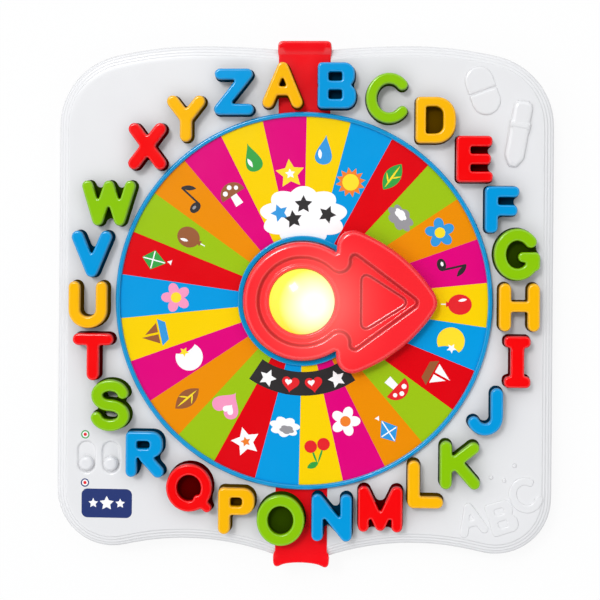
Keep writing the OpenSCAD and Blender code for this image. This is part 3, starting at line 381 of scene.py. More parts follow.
@dataclass(frozen=True)
class WedgePrint:
    """Printed film: equal wedges round a centre whose colours repeat in order, with a faint print grain."""

    name: str
    centre: tuple[float, float]
    count: int
    inks: tuple[tuple[float, float, float], ...]
    lean: float = 0.0
    gloss: float = 0.2
    wear: float = 0.08
    wear_scale: float = 40.0
    grain: float = 0.1
    grain_scale: float = 1600.0

    def material(self) -> bpy.types.Material:
        """Builds the node material: the angle round the centre picks the wedge, and the wedge its ink."""
        sheet = Sheet(self.name)
        vector, x, y, _ = sheet.place()
        turn = (y - self.centre[1]).turn_from(x - self.centre[0])
        start = math.pi / 2 + FULL_TURN / self.count + self.lean
        wedge = ((start - turn) % FULL_TURN * (self.count / FULL_TURN)).floor()
        share = (wedge % len(self.inks) + 0.5) / len(self.inks)
        stops = [(k / len(self.inks), ink) for k, ink in enumerate(self.inks)]
        ramp = sheet.node("ShaderNodeValToRGB", {"stops": stops}, {0: share})
        ramp.color_ramp.interpolation = "CONSTANT"
        grain = self.grain * sheet.noise(vector, self.grain_scale, 2.0)
        return sheet.principled({
            "Base Color": sheet.blend(grain, ramp.outputs[0], opaque(BLACK)),
            "Roughness": sheet.wander(vector, self.wear_scale, self.gloss, self.wear),
            "Coat Weight": 0.1, "Coat Roughness": 0.2,
        })


@dataclass(frozen=True)
class GlowPlastic:
    """Translucent plastic lit from below: palest in the middle of the dome."""

    name: str
    centre: tuple[float, float]
    radius: float
    edge: tuple[float, float, float]
    middle: tuple[float, float, float]
    glow: float = 0.3
    pale: float = 0.3
    gloss: float = 0.2
    wear: float = 0.08
    wear_scale: float = 80.0

    def material(self) -> bpy.types.Material:
        """Builds the node material: the distance from the centre runs the colour from middle to edge."""
        sheet = Sheet(self.name)
        vector, *_ = sheet.place()
        stops = [(self.pale, self.middle), (1.0, self.edge)]
        share = sheet.reach(self.centre) / self.radius
        tone = sheet.node("ShaderNodeValToRGB", {"stops": stops}, {0: share}).outputs[0]
        return sheet.principled({
            "Base Color": tone, "Roughness": sheet.wander(vector, self.wear_scale, self.gloss, self.wear),
            "Coat Weight": 0.3, "Emission Color": tone, "Emission Strength": self.glow,
        })


class Ink(Enum):
    """Inks of the generic print on the dial and the small signs."""

    WHITE = (250, 250, 250)
    BLACK = (34, 30, 31)
    RED = (228, 20, 30)
    YELLOW = (255, 222, 30)
    GREEN = (40, 160, 60)
    BLUE = (40, 150, 220)
    ORANGE = (240, 125, 30)
    PINK = (245, 150, 190)
    BROWN = (150, 85, 40)
    GREY = (150, 148, 152)
    NAVY = (20, 44, 110)


SLOT_FINISH = {
    "white_shell": Plastic("white_shell", linear(231, 231, 232), 0.24, 0.3, 0.012),
    "white_knob": Plastic("white_knob", linear(230, 230, 232), 0.22, 0.3, 0.012),
    "bracket_red": Plastic("bracket_red", linear(248, 8, 22), 0.2, 0.4),
    "dial_blue": Plastic("dial_blue", linear(6, 150, 210), 0.18, 0.2),
    # The pointer's red has painted light from the button round its middle.
    "pointer_red": GlowRed("pointer_red", linear(253, 40, 48), 0.2, 0.45),
    # The letters' finishes paint shade down their walls and on their webs.
    "letter_yellow": ShadedLetterPlastic("letter_yellow", linear(250, 184, 4), 0.18, 0.1),
    "letter_blue": ShadedLetterPlastic("letter_blue", linear(0, 152, 218), 0.18, 0.1),
    "letter_green": ShadedLetterPlastic("letter_green", linear(138, 196, 6), 0.18, 0.1),
    "letter_red": ShadedLetterPlastic("letter_red", linear(246, 4, 8), 0.18, 0.1),
    "inner_ivory": Plastic("inner_ivory", linear(228, 224, 210), 0.45, 0.0),
    "circuit_board": Plastic("circuit_board", linear(40, 130, 80), 0.4, 0.1, 0.15),
    "dark_plastic": Plastic("dark_plastic", linear(40, 40, 42), 0.4, 0.0),
    "lamp_clear": Plastic("lamp_clear", linear(248, 248, 240), 0.1, 0.4),
    "speaker_paper": Plastic("speaker_paper", linear(60, 58, 56), 0.8, 0.0, 0.2, 0.3),
    "cell_wrap": Plastic("cell_wrap", linear(80, 150, 90), 0.3, 0.2),
    "bright_steel": Plastic("bright_steel", linear(210, 211, 214), 0.28, 0.0, 0.05, 0.05, 1.0),
    "contact_brass": Plastic("contact_brass", linear(214, 190, 130), 0.3, 0.0, 0.05, 0.05, 1.0),
    "lead_grey": Plastic("lead_grey", linear(140, 145, 152), 0.5, 0.0),
    "foot_rubber": Plastic("foot_rubber", linear(70, 70, 72), 0.75, 0.0, 0.1, 0.2),
}


# Outlines and surfaces


def turns(steps: int) -> np.ndarray:
    """Even angles once round."""
    return np.arange(steps) * FULL_TURN / steps


def ray(angles: np.ndarray) -> np.ndarray:
    """Unit vectors at angles from the X axis."""
    return np.column_stack([np.cos(angles), np.sin(angles)])


def circle(radius: float, centre: Sequence[float] = ORIGIN, steps: int = 128) -> np.ndarray:
    """Points of a circle, anticlockwise: centre plus radius times cosine and sine of even turns."""
    return ray(turns(steps)) * radius + np.asarray(centre)


def pill(width: float, length: float, centre: Sequence[float], steps: int = 40) -> np.ndarray:
    """Points of a shape with round ends that stands along Y: a circle whose halves are drawn apart."""
    ring = circle(width / 2, steps=2 * steps)
    ring[:, 1] += np.where(ring[:, 1] >= 0, 1, -1) * (length - width) / 2
    return ring + np.asarray(centre)


def rectangle(low: Sequence[float], high: Sequence[float]) -> np.ndarray:
    """The four corners of an upright rectangle, anticlockwise."""
    return np.array([[low[0], low[1]], [high[0], low[1]], [high[0], high[1]], [low[0], high[1]]], float)


def resample(loop: np.ndarray, step: float, passes: int = 2) -> np.ndarray:
    """Spreads points evenly along a closed outline and eases its corners.

    The points stand at equal shares of the outline's length; each pass then moves every point to
    the mean of itself and its two neighbours' middle.

    Args:
        loop: Points of the outline.
        step: Distance between the new points.
        passes: How often the outline is eased.

    Returns:
        The new points.
    """
    closed = np.vstack([loop, loop[:1]])
    run = np.concatenate([[0], np.cumsum(np.linalg.norm(np.diff(closed, axis=0), axis=1))])
    count = max(12, math.ceil(run[-1] / step))
    at = np.arange(count) * run[-1] / count
    even = np.column_stack([np.interp(at, run, closed[:, k]) for k in (0, 1)])
    for _ in range(passes):
        even = (np.roll(even, 1, 0) + 2 * even + np.roll(even, -1, 0)) / 4
    return even


def area(loop: np.ndarray) -> float:
    """The signed area inside an outline, positive where it runs anticlockwise."""
    ahead = np.roll(loop, -1, 0)
    return float(np.sum(loop[:, 0] * ahead[:, 1] - loop[:, 1] * ahead[:, 0]) / 2)


def twist(points: np.ndarray, faces: np.ndarray) -> np.ndarray:
    """Twice the signed area of triangles seen from above, positive where they run anticlockwise."""
    a, b, c = (points[faces[:, k]] for k in range(3))
    return (b[:, 0] - a[:, 0]) * (c[:, 1] - a[:, 1]) - (b[:, 1] - a[:, 1]) * (c[:, 0] - a[:, 0])


def level_faces(node: str, height: float, down: bool) -> tuple[np.ndarray, np.ndarray]:
    """Reads a node's level triangles at one height.

    Args:
        node: The node's name.
        height: Height of the triangles.
        down: True for triangles that look down.

    Returns:
        All points of the node, each once, and the triangles as rows of point numbers.
    """
    mesh = frame["nodes"][node].data
    mesh.calc_loop_triangles()
    points = np.empty(len(mesh.vertices) * 3)
    mesh.vertices.foreach_get("co", points)
    corners = np.empty(len(mesh.loop_triangles) * 3, np.int32)
    mesh.loop_triangles.foreach_get("vertices", corners)
    points, names = np.unique(np.round(points.reshape(-1, 3), 6), axis=0, return_inverse=True)
    corners = names.reshape(-1)[corners].reshape(-1, 3)
    flat = np.all(np.abs(points[corners, 2] - height) < LEVEL_GAP, axis=1)
    turn = twist(points, corners)
    kept = corners[flat & ((turn < 0) if down else (turn > 0))]
    return points, kept[:, ::-1] if down else kept


def level_loops(node: str, height: float, down: bool = False) -> list[np.ndarray]:
    """Finds the outlines of a node's level faces at one height.

    An edge that only one of the level triangles has lies on an outline. Each point's place along
    its outline is found by doubling: every round, a point looks twice as far ahead and adds the
    steps that it passed.

    Args:
        node: The node's name.
        height: Height of the faces.
        down: True for faces that look down.

    Returns:
        The outlines, longest first, with the face on their left seen from above.
    """
    points, faces = level_faces(node, height, down)
    start, end = faces.reshape(-1), np.roll(faces, -1, 1).reshape(-1)
    size = len(points)
    border = ~np.isin(start * size + end, end * size + start)
    start, end = start[border], end[border]
    order = np.arange(size)
    ahead = order.copy()
    ahead[start] = end
    root = order.copy()
    jump = ahead.copy()
    for _ in range(size.bit_length()):
        root = np.minimum(root, root[jump])
        jump = jump[jump]
    left = np.where(root == order, 0, 1)
    jump = np.where(root == order, order, ahead)
    for _ in range(size.bit_length()):
        left = left + left[jump]
        jump = jump[jump]
    loops = [start[root[start] == r] for r in np.unique(root[start])]
    loops = [points[one[np.argsort(-left[one] % (left[one].max() + 1))], :2] for one in loops]
    return sorted(loops, key=lambda loop: -abs(area(loop)))


def fillet(corners: Sequence[tuple[float, float]], cuts: Sequence[float], steps: int = 6) -> np.ndarray:
    """Rounds the inner corners of a profile.

    Each corner is cut off at a distance and bridged by a parabola whose middle point is the corner.

    Args:
        corners: Points of the profile, as inset and height in millimetres.
        cuts: Distance that each inner corner is cut, in millimetres.
        steps: Points on each rounded corner.

    Returns:
        Points of the profile in metres.
    """
    line = np.asarray(corners, float)
    t = np.linspace(0, 1, steps)[:, None]
    parts = [line[:1]]
    free = [0.98, *[0.49] * (len(line) - 3), 0.98]
    for before, corner, after, cut, *ends in zip(line, line[1:], line[2:], cuts, free, free[1:]):
        back, on = before - corner, after - corner
        reach = min(cut, ends[0] * np.linalg.norm(back), ends[1] * np.linalg.norm(on))
        p = corner + back / np.linalg.norm(back) * reach
        q = corner + on / np.linalg.norm(on) * reach
        parts.append((1 - t) ** 2 * p + 2 * t * (1 - t) * corner + t**2 * q)
    return np.vstack([*parts, line[-1:]]) * MM


def inward(loop: np.ndarray) -> np.ndarray:
    """Unit vectors from each point of an outline towards its left, where the material is."""
    along = np.roll(loop, -1, 0) - np.roll(loop, 1, 0)
    along /= np.linalg.norm(along, axis=1)[:, None]
    return np.column_stack([-along[:, 1], along[:, 0]])


def placed(name: str, data: bpy.types.ID) -> bpy.types.Object:
    """A new object of the scene that holds a mesh, a lamp or a camera."""
    made = bpy.data.objects.new(name, data)
    bpy.context.scene.collection.objects.link(made)
    return made


class Skin:
    """Surfaces of one piece, gathered before they become its mesh; edges over an angle stay sharp."""

    sharp = 38.0

    def __init__(self) -> None:
        """Starts with no surface."""
        self.points: list[np.ndarray] = []
        self.faces: list[list[int]] = []
        self.inks: list[int] = []
        self.count = 0

    def add(self, points: np.ndarray, faces: np.ndarray, ink: int = 0) -> None:
        """Adds one surface.

        Args:
            points: Its points.
            faces: Its faces, as rows of point numbers.
            ink: Number of the material slot.
        """
        self.points.append(points)
        self.faces += (faces + self.count).tolist()
        self.inks += [ink] * len(faces)
        self.count += len(points)

    def wall(
        self, loop: np.ndarray, profile: np.ndarray, ink: int = 0,
    ) -> tuple[np.ndarray, np.ndarray]:
        """Carries a profile along a closed outline.

        A point is the outline's point, moved towards the material by the profile's inset and
        raised to the profile's height; neighbours in both directions make four-sided faces.

        Args:
            loop: The outline, with the material on its left.
            profile: Rows of inset and height, from the bottom up.
            ink: Number of the material slot.

        Returns:
            The outlines at the profile's first and last point.
        """
        n, k = len(loop), len(profile)
        flat = loop[None] + profile[:, 0, None, None] * inward(loop)[None]
        rise = np.broadcast_to(profile[:, 1, None, None], (k, n, 1))
        here = np.arange(n)[None] + n * np.arange(k - 1)[:, None]
        beside = (np.arange(n)[None] + 1) % n + n * np.arange(k - 1)[:, None]
        faces = np.stack([here, beside, beside + n, here + n], axis=-1).reshape(-1, 4)
        self.add(np.concatenate([flat, rise], axis=2).reshape(-1, 3), faces, ink)
        return flat[0], flat[-1]

    def cap(
        self, loops: Sequence[np.ndarray], height: float, down: bool = False, ink: int = 0,
    ) -> None:
        """Closes the level region between outlines.

        The outlines' points are joined to triangles; those whose middle lies inside an odd number
        of outlines are kept.

        Args:
            loops: The outlines.
            height: Height of the region.
            down: True where the region looks down.
            ink: Number of the material slot.
        """
        flat = np.vstack(loops)
        first = np.concatenate([[0], np.cumsum([len(loop) for loop in loops])])
        rows = [np.arange(len(loop)) for loop in loops]
        edges = [np.column_stack([row, np.roll(row, -1)]) + base for row, base in zip(rows, first)]
        joined = delaunay_2d_cdt(
            [Vector(point) for point in flat], np.vstack(edges).tolist(), [], 0, SAME_POINT,
        )
        points, faces = np.array([tuple(point) for point in joined[0]]), np.array(joined[2])
        middle = points[faces].mean(axis=1)
        end = np.vstack([np.roll(loop, -1, 0) for loop in loops])
        spans = (flat[None, :, 1] > middle[:, None, 1]) != (end[None, :, 1] > middle[:, None, 1])
        rise = np.where(end[:, 1] == flat[:, 1], 1.0, end[:, 1] - flat[:, 1])
        cross = flat[:, 0] + (middle[:, None, 1] - flat[:, 1]) * (end[:, 0] - flat[:, 0]) / rise
        inside = np.sum(spans & (cross > middle[:, None, 0]), axis=1) % 2 == 1
        turn = twist(points, faces)
        kept = inside & (np.abs(turn) > SLIVER)
        wrong = (turn[kept] < 0) != down
        kept = np.where(wrong[:, None], faces[kept][:, ::-1], faces[kept])
        self.add(np.column_stack([points, np.full(len(points), height)]), kept, ink)

    def mould(self, loops: Sequence[np.ndarray], profile: np.ndarray, ink: int = 0) -> None:
        """A closed body: walls along the outlines, a top and a bottom."""
        ends = [self.wall(loop, profile, ink) for loop in loops]
        self.cap([top for _, top in ends], float(profile[-1, 1]), ink=ink)
        self.cap([low for low, _ in ends], float(profile[0, 1]), down=True, ink=ink)

    def piece(self, name: str, materials: Sequence[bpy.types.Material]) -> bpy.types.Object:
        """Makes the mesh, joins its seams and dresses it.

        Args:
            name: The piece's name.
            materials: Its material slots.

        Returns:
            The object.
        """
        mesh = bpy.data.meshes.new(name)
        mesh.from_pydata(np.vstack(self.points).tolist(), [], self.faces)
        for material in materials:
            mesh.materials.append(material)
        mesh.polygons.foreach_set("material_index", self.inks)
        body = bmesh.new()
        body.from_mesh(mesh)
        bmesh.ops.remove_doubles(body, verts=body.verts, dist=WELD)
        body.to_mesh(mesh)
        body.free()
        mesh.shade_smooth()
        mesh.set_sharp_from_angle(angle=math.radians(self.sharp))
        return placed(name, mesh)


# What all pieces share


def joint(name: str) -> dict:
    """One of the frame's joints."""
    return next(row for row in frame["joints"] if row["name"] == name)


@dataclass(frozen=True)
class Levels:
    """Heights and places that the pieces share, in millimetres, read from the frame."""

    centre: tuple[float, float]
    back: float
    seam: float
    face: float
    label: float
    collar: float
    pointer: float

    @classmethod
    def read(cls) -> "Levels":
        """Takes the heights from the nodes' boxes and the dial's centre from the pointer's joint."""
        low = {name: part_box(name)[0].z / MM for name in ("rear_cover", "front_cover")}
        top = {name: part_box(name)[1].z / MM for name in ("letter_a", "dial_label", "dial_base", "pointer")}
        return cls(
            centre=tuple(joint("pointer_spin")["pos_m"][:2]),
            back=low["rear_cover"],
            seam=low["front_cover"],
            face=top["letter_a"] - LETTER_RISE,
            label=top["dial_label"],
            collar=top["dial_base"],
            pointer=top["pointer"],
        )


class Dresser:
    """Keeps one material for each finish and each ink, and knows the nodes' slots."""

    def __init__(self) -> None:
        """Builds the materials."""
        self.made = {slot: finish.material() for slot, finish in SLOT_FINISH.items()}
        self.inks = [
            Plastic(f"print_{ink.name.lower()}", linear(*ink.value), 0.36, 0.08, 0.03).material() for ink in Ink
        ]
        self.node_slot = {row["node"]: row["material_slot"] for row in frame["record"]["subparts"]}

    def dress_nodes(self) -> None:
        """Gives every CAD node the finish of its slot; those that a piece replaces may go plain."""
        for name, node in frame["nodes"].items():
            node.data.materials.clear()
            node.data.materials.append(self.made.get(self.node_slot[name], self.made["white_shell"]))


@dataclass
class SubAssembly:
    """Pieces that belong together, built at the shared heights and in the dresser's finishes."""

    levels: Levels
    dresser: Dresser

    def put(
        self, skin: Skin, name: str, slot: str, *nodes: str,
        body: str = "housing", finishes: Sequence[bpy.types.Material] = (),
    ) -> None:
        """Makes a piece, rides it on a body, dresses it in its slot's finish and hides the nodes that it replaces.

        Args:
            skin: Its surfaces.
            name: Its name.
            slot: Its slot, whose finish it takes where no others are given.
            nodes: The nodes that it replaces.
            body: The body that it rides on.
            finishes: Its finishes, in the order of the skin's inks.
        """
        piece = skin.piece(name, finishes or [self.dresser.made[slot]])
        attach(piece, body)
        if nodes:
            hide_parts(*nodes)
        LOG.info("%s: %d faces, on %s", name, len(piece.data.polygons), body)


# Sub-assemblies


@dataclass(frozen=True)
class Relief:
    """A moulded relief: its height in the solids, and its height and the width of its flank as dressed."""

    name: str
    level: float
    rise: float
    flank: float


@dataclass
class FaceShell(SubAssembly):
    """White front cover: a stepped rim, a level face with two knob recesses, and low reliefs."""

    step_count: int = 3
    step_w: float = 2.5
    step_h: float = 1.1
    riser_w: float = 0.85
    tread_rise: float = 0.2
    step_round: float = 0.5
    ledge: float = 5.0
    bevel: float = 1.3
    recess_w: float = 13.6
    recess_l: float = 24.8
    recess_depth: float = 1.9
    recess_steps: int = 40
    moulded: tuple[Relief, ...] = (
        Relief("pen", 2.98, 3.4, 3.4),
        Relief("eraser", 1.18, 1.6, 1.8),
        Relief("corner_letters", 0.58, 1.1, 1.5),
    )
    band: tuple[float, float] = (0.56, 0.69)
    band_w: float = 0.97
    dot_r: float = 1.7
    dot_steps: int = 32
    dots: tuple[tuple[float, float], ...] = ((150.8, -135.8), (169.2, -126.2), (161.2, -138.2))
    sunk: float = 0.2
    outline_step: float = 2.5
    relief_step: float = 0.5

    def rim(self) -> np.ndarray:
        """Profile of the edge: an upright wall, a bevel, then sloped steps up to the face."""
        w, h, face, count = self.step_w, self.step_h, self.levels.face, self.step_count
        foot = face - count * h
        corners = [(0, self.levels.seam), (0, foot - self.bevel), (self.bevel, foot)]
        for k in range(1, count + 1):
            low = face - (count + 1 - k) * h
            corners += [(k * w, low + self.tread_rise), (k * w + self.riser_w, low + h)]
        corners.append((count * w + self.ledge, face))
        return fillet(corners, [self.step_round] * (len(corners) - 2), 4)

    def build(self) -> None:
        """Builds the cover and its reliefs."""
        skin = Skin()
        face = self.levels.face
        edge = level_loops("rear_cover", self.levels.back * MM, down=True)[0]
        _, inner = skin.wall(resample(edge, self.outline_step * MM), self.rim())
        holes = [inner]
        deep = face - self.recess_depth
        dip = fillet([(-3, deep), (-0.3, deep), (1.0, face), (2.6, face)], [0.8, 1.3], 8)
        travel = joint("volume_slide")["range_m"][1]
        for knob in KNOBS:
            low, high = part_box(knob)
            middle = ((low.x + high.x) / 2, high.y + (travel - (high.y - low.y)) / 2)
            ring = pill(self.recess_w * MM, self.recess_l * MM, middle, self.recess_steps)[::-1]
            floor, rim = skin.wall(ring, dip)
            skin.cap([floor], deep * MM)
            holes.append(rim)
        skin.cap(holes, face * MM)
        self.put(skin, "face_shell", "white_shell", "front_cover")
        self.reliefs()

    def cap_band(self, loop: np.ndarray) -> np.ndarray:
        """Outline of the raised band round the pen.

        A rectangle across the outline's main direction: its ends are shares of the pen's length, its
        half width a share of the pen's.

        Args:
            loop: The pen's outline.

        Returns:
            The band's outline.
        """
        middle = loop.mean(axis=0)
        axis = np.linalg.svd(loop - middle, full_matrices=False)[2][0]
        axis = axis * np.sign(axis[1])
        across = np.array([axis[1], -axis[0]])
        along = (loop - middle) @ axis
        low, high = along.min() + np.asarray(self.band) * np.ptp(along)
        half = np.abs((loop - middle) @ across).max() * self.band_w
        band = middle + rectangle((-half, low), (half, high)) @ np.array([across, axis])
        return resample(band, self.relief_step * MM)

    def reliefs(self) -> None:
        """Builds the moulded pen, eraser and letters, with soft edges, on the face."""
        face = self.levels.face
        foot = face - self.sunk
        for relief in self.moulded:
            skin = Skin()
            name, rise, flank = relief.name, relief.rise, relief.flank
            top = face + rise
            outlines = level_loops("front_cover", (face + relief.level) * MM)
            loops = [resample(one, self.relief_step * MM, 4) for one in outlines]
            skin.mould(loops, fillet([
                (-0.5, foot), (0, face), (0.25 * flank, face + 0.75 * rise), (flank, top), (flank + 0.4, top),
            ], [0.3, 1.0, 1.0]))
            if name == "pen":
                skin.mould([self.cap_band(loops[0])], fillet([
                    (-0.4, foot), (0, face), (0.5, face + 0.8 * rise), (2.2, top + 0.5), (2.6, top + 0.5),
                ], [0.3, 0.8, 0.8]))
            if name == "corner_letters":
                dot = fillet([(-0.3, foot), (0, face), (0.5, top), (0.9, top)], [0.3, 0.4])
                rings = [circle(self.dot_r * MM, np.asarray(at) * MM, self.dot_steps) for at in self.dots]
                skin.mould(rings, dot)
            self.put(skin, f"{name}_relief", "white_shell")


@dataclass
class LetterRing(SubAssembly):
    """The 26 raised letters: drafted walls, rounded upper edges and a low web in narrow places."""

    draft: float = 0.6
    shoulder: tuple[float, float] = (0.1, 3.4)
    lean: float = 0.4
    edge: float = 1.7
    outline_step: float = 0.6

    def build(self) -> None:
        """Builds each letter from the outlines of its node, at its top and at its web."""
        face = self.levels.face
        top, web_top = face + LETTER_RISE, face + WEB_RISE
        foot = (-self.draft, face - SEAT)
        bend = (self.shoulder[0], top - self.shoulder[1])
        wall = fillet([foot, bend, (self.lean, top), (self.lean + 2.0, top)], [1.2, self.edge])
        web_wall = fillet([foot, (-0.4, web_top), (0.2, web_top)], [0.1])
        for name in sorted(n for n in frame["nodes"] if n.startswith("letter_")):
            skin = Skin()
            for level, profile, passes in ((top, wall, 2), (web_top, web_wall, 0)):
                loops = level_loops(name, level * MM)
                if loops:
                    skin.mould([resample(one, self.outline_step * MM, passes) for one in loops], profile)
            self.put(skin, f"raised_{name}", self.dresser.node_slot[name], name)


@dataclass
class Dial(SubAssembly):
    """Blue base with its rim and collar, and the printed disc."""

    rim_r: float = 151.0
    rim_w: float = 3.8
    rim_h: float = 4.6
    collar_r: float = 52.0
    collar_w: float = 4.1
    card_gap: float = 0.4
    card_in: float = 0.5
    wedges: int = 26
    rim_steps: int = 360
    print_steps: int = 312
    print_rings: int = 12
    inks: tuple = (
        linear(230, 0, 126), linear(255, 214, 0), linear(0, 158, 228),
        linear(228, 0, 15), linear(160, 200, 20), linear(242, 145, 0),
    )

    def build(self) -> None:
        """Builds the base and the disc."""
        skin = Skin()
        levels = self.levels
        foot, floor = levels.face - SEAT, levels.label - self.card_gap
        rim, collar = levels.face + self.rim_h, levels.collar
        inner = self.rim_r - self.collar_r
        skin.wall(circle(self.rim_r * MM, levels.centre, self.rim_steps), fillet([
            (0, foot), (0.2, rim), (self.rim_w, rim), (self.rim_w + 0.2, floor),
            (inner, floor), (inner + 0.1, collar), (inner + self.collar_w, collar),
            (inner + self.collar_w, foot), (0, foot),
        ], [1.8, 1.4, 0.1, 0.1, 1, 1, 0.1], 8))
        self.put(skin, "dial_rim", "dial_blue", "dial_base")
        disc = Skin()
        outer, inner = (self.rim_r - self.rim_w) * MM, (self.collar_r - self.card_in) * MM
        insets = np.linspace(0, outer - inner, self.print_rings)
        level = np.full(self.print_rings, levels.label * MM)
        disc.wall(circle(outer, levels.centre, self.print_steps), np.column_stack([insets, level]))
        card = WedgePrint("printed_card", levels.centre, self.wedges, self.inks, PRINT_LEAN)
        self.put(disc, "printed_disc", "printed_card", "dial_label", finishes=[card.material()])


@dataclass
class Pointer(SubAssembly):
    """Red turning arrow: puffed border, sunk pocket with a smaller triangle, and a lip round the button."""

    hub_r: float = 47.4
    lip_r: float = 29.4
    lip_w: float = 3.0
    lip_sunk: float = 1.0
    pocket_depth: float = 5.0
    notch_depth: float = 2.0
    under: float = 9.5
    outline_step: float = 1.0
    round_steps: int = 160

    def build(self) -> None:
        """Builds the arrow from the outlines of its node."""
        skin = Skin()
        levels = self.levels
        step, top, base = self.outline_step * MM, levels.pointer, levels.pointer - self.under
        floor, deep = top - self.pocket_depth, top - self.pocket_depth - self.notch_depth
        outer, pocket = (resample(one, step) for one in level_loops("pointer", top * MM)[:2])
        notch = resample(level_loops("pointer", deep * MM)[0], step, 6)[::-1]
        side = fillet([(3, base), (0, base), (0.4, top), (6, top)], [0.8, 4.6], 9)
        _, crest = skin.wall(outer, side)
        dip = fillet([(-2.0, floor), (-0.9, floor), (1.7, top), (5.0, top)], [0.8, 1.5], 8)
        low, high = skin.wall(pocket, dip, 1)
        skin.cap([crest, high], top * MM)
        lip_top = top - self.lip_sunk
        lip = fillet([
            (-0.9, floor), (0, floor), (0.2, lip_top), (self.lip_w, lip_top), (self.lip_w, lip_top - 5),
        ], [0.7, 1.1, 1.1])
        foot, _ = skin.wall(circle(self.lip_r * MM, levels.centre, self.round_steps), lip)
        sink = fillet([(-3.2, deep), (-1.2, deep), (1.0, floor), (2.4, floor)], [1.2, 0.6], 7)
        pit, brim = skin.wall(notch, sink, 2)
        skin.cap([low, foot, brim], floor * MM)
        skin.cap([pit], deep * MM)
        hub = fillet([(0.6, levels.label + 0.5), (0, levels.label + 1), (0, base + 1)], [0.3])
        skin.wall(circle(self.hub_r * MM, levels.centre, self.round_steps), hub)
        # The walls of the pocket and the notch take painted shade.
        walls = [self.hollow("pocket_red_painted_shade", floor, top), self.hollow("notch_red_painted_shade", deep, floor)]
        finishes = [self.dresser.made["pointer_red"], *walls]
        self.put(skin, "spinning_arrow", "pointer_red", "pointer", body="pointer", finishes=finishes)

    @staticmethod
    def hollow(name: str, foot: float, brim: float) -> bpy.types.Material:
        """The pointer's finish for the walls between two heights, with painted shade half way down."""
        red = SLOT_FINISH["pointer_red"]
        return ShadedHollowRed(name, red.colour, red.gloss, red.coat, foot=foot * MM, brim=brim * MM).material()


@dataclass
class LitButton(SubAssembly):
    """Yellow dome in the middle of the pointer, lit from below."""

    radius: float = 25.9
    dome_h: float = 6.4
    side: float = 3.4
    rings: int = 24
    round_steps: int = 160
    hot: tuple[float, float] = (10.0, -2.0)
    hot_r: float = 28.0
    edge_colour: tuple[float, float, float] = linear(255, 216, 40)
    hot_colour: tuple[float, float, float] = linear(255, 252, 225)

    def build(self) -> None:
        """Builds the dome: an upright side, then a circle's arc up to the middle."""
        centre = self.levels.centre
        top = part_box("light_button")[1].z / MM
        edge = top - self.dome_h
        curve = (self.radius**2 + self.dome_h**2) / (2 * self.dome_h)
        reach = self.radius * np.cos(np.linspace(0.04, 0.985, self.rings) * math.pi / 2)
        rise = edge - (curve - self.dome_h) + np.sqrt(curve**2 - reach**2)
        start = np.array([[0, edge - self.side], [0, edge - 0.5]])
        profile = np.vstack([start, np.column_stack([self.radius - reach, rise])]) * MM
        skin = Skin()
        _, last = skin.wall(circle(self.radius * MM, centre, self.round_steps), profile)
        skin.cap([last], float(profile[-1, 1]))
        hot = (centre[0] + self.hot[0] * MM, centre[1] + self.hot[1] * MM)
        glow = GlowPlastic("button_yellow", hot, self.hot_r * MM, self.edge_colour, self.hot_colour)
        finishes = [glow.material()]
        self.put(skin, "lit_dome", "button_yellow", "light_button", body="light_button", finishes=finishes)


@dataclass
class ButtonSpring(SubAssembly):
    """Steel coil under the lit button, from its foot on the board up to its head; it stays fixed as built."""

    wire: float = 1.2
    turns: int = 4
    steps: int = 48
    around: int = 12

    def build(self) -> None:
        """Carries a circle along a helix in the node's box; the first and last ring shrink to points."""
        centre = self.levels.centre
        low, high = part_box("button_spring")
        half = self.wire / 2 * MM
        reach = (high.x - low.x) / 2 - half
        share = np.linspace(0, 1, self.turns * self.steps + 1)
        share = np.concatenate([share[:1], share, share[-1:]])
        turn = FULL_TURN * self.turns * share[:, None]
        thick = np.full((len(share), 1), half)
        thick[[0, -1]] = 0
        around = np.linspace(0, FULL_TURN, self.around, endpoint=False)[None]
        out = reach + thick * np.cos(around)
        rise = low.z + half + (high.z - low.z - 2 * half) * share[:, None] + thick * np.sin(around)
        flat = (centre[0] + out * np.cos(turn), centre[1] + out * np.sin(turn))
        here = np.arange((len(share) - 1) * self.around).reshape(-1, self.around)
        beside = np.roll(here, -1, axis=1)
        faces = np.stack([here, here + self.around, beside + self.around, beside], axis=-1).reshape(-1, 4)
        skin = Skin()
        skin.add(np.stack([*flat, rise], axis=-1).reshape(-1, 3), faces)
        coil = skin.piece("button_coil", [self.dresser.made["bright_steel"]])
        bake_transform(coil)
        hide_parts("button_spring")
        LOG.info("%s: %d faces, from housing to light_button", coil.name, len(coil.data.polygons))


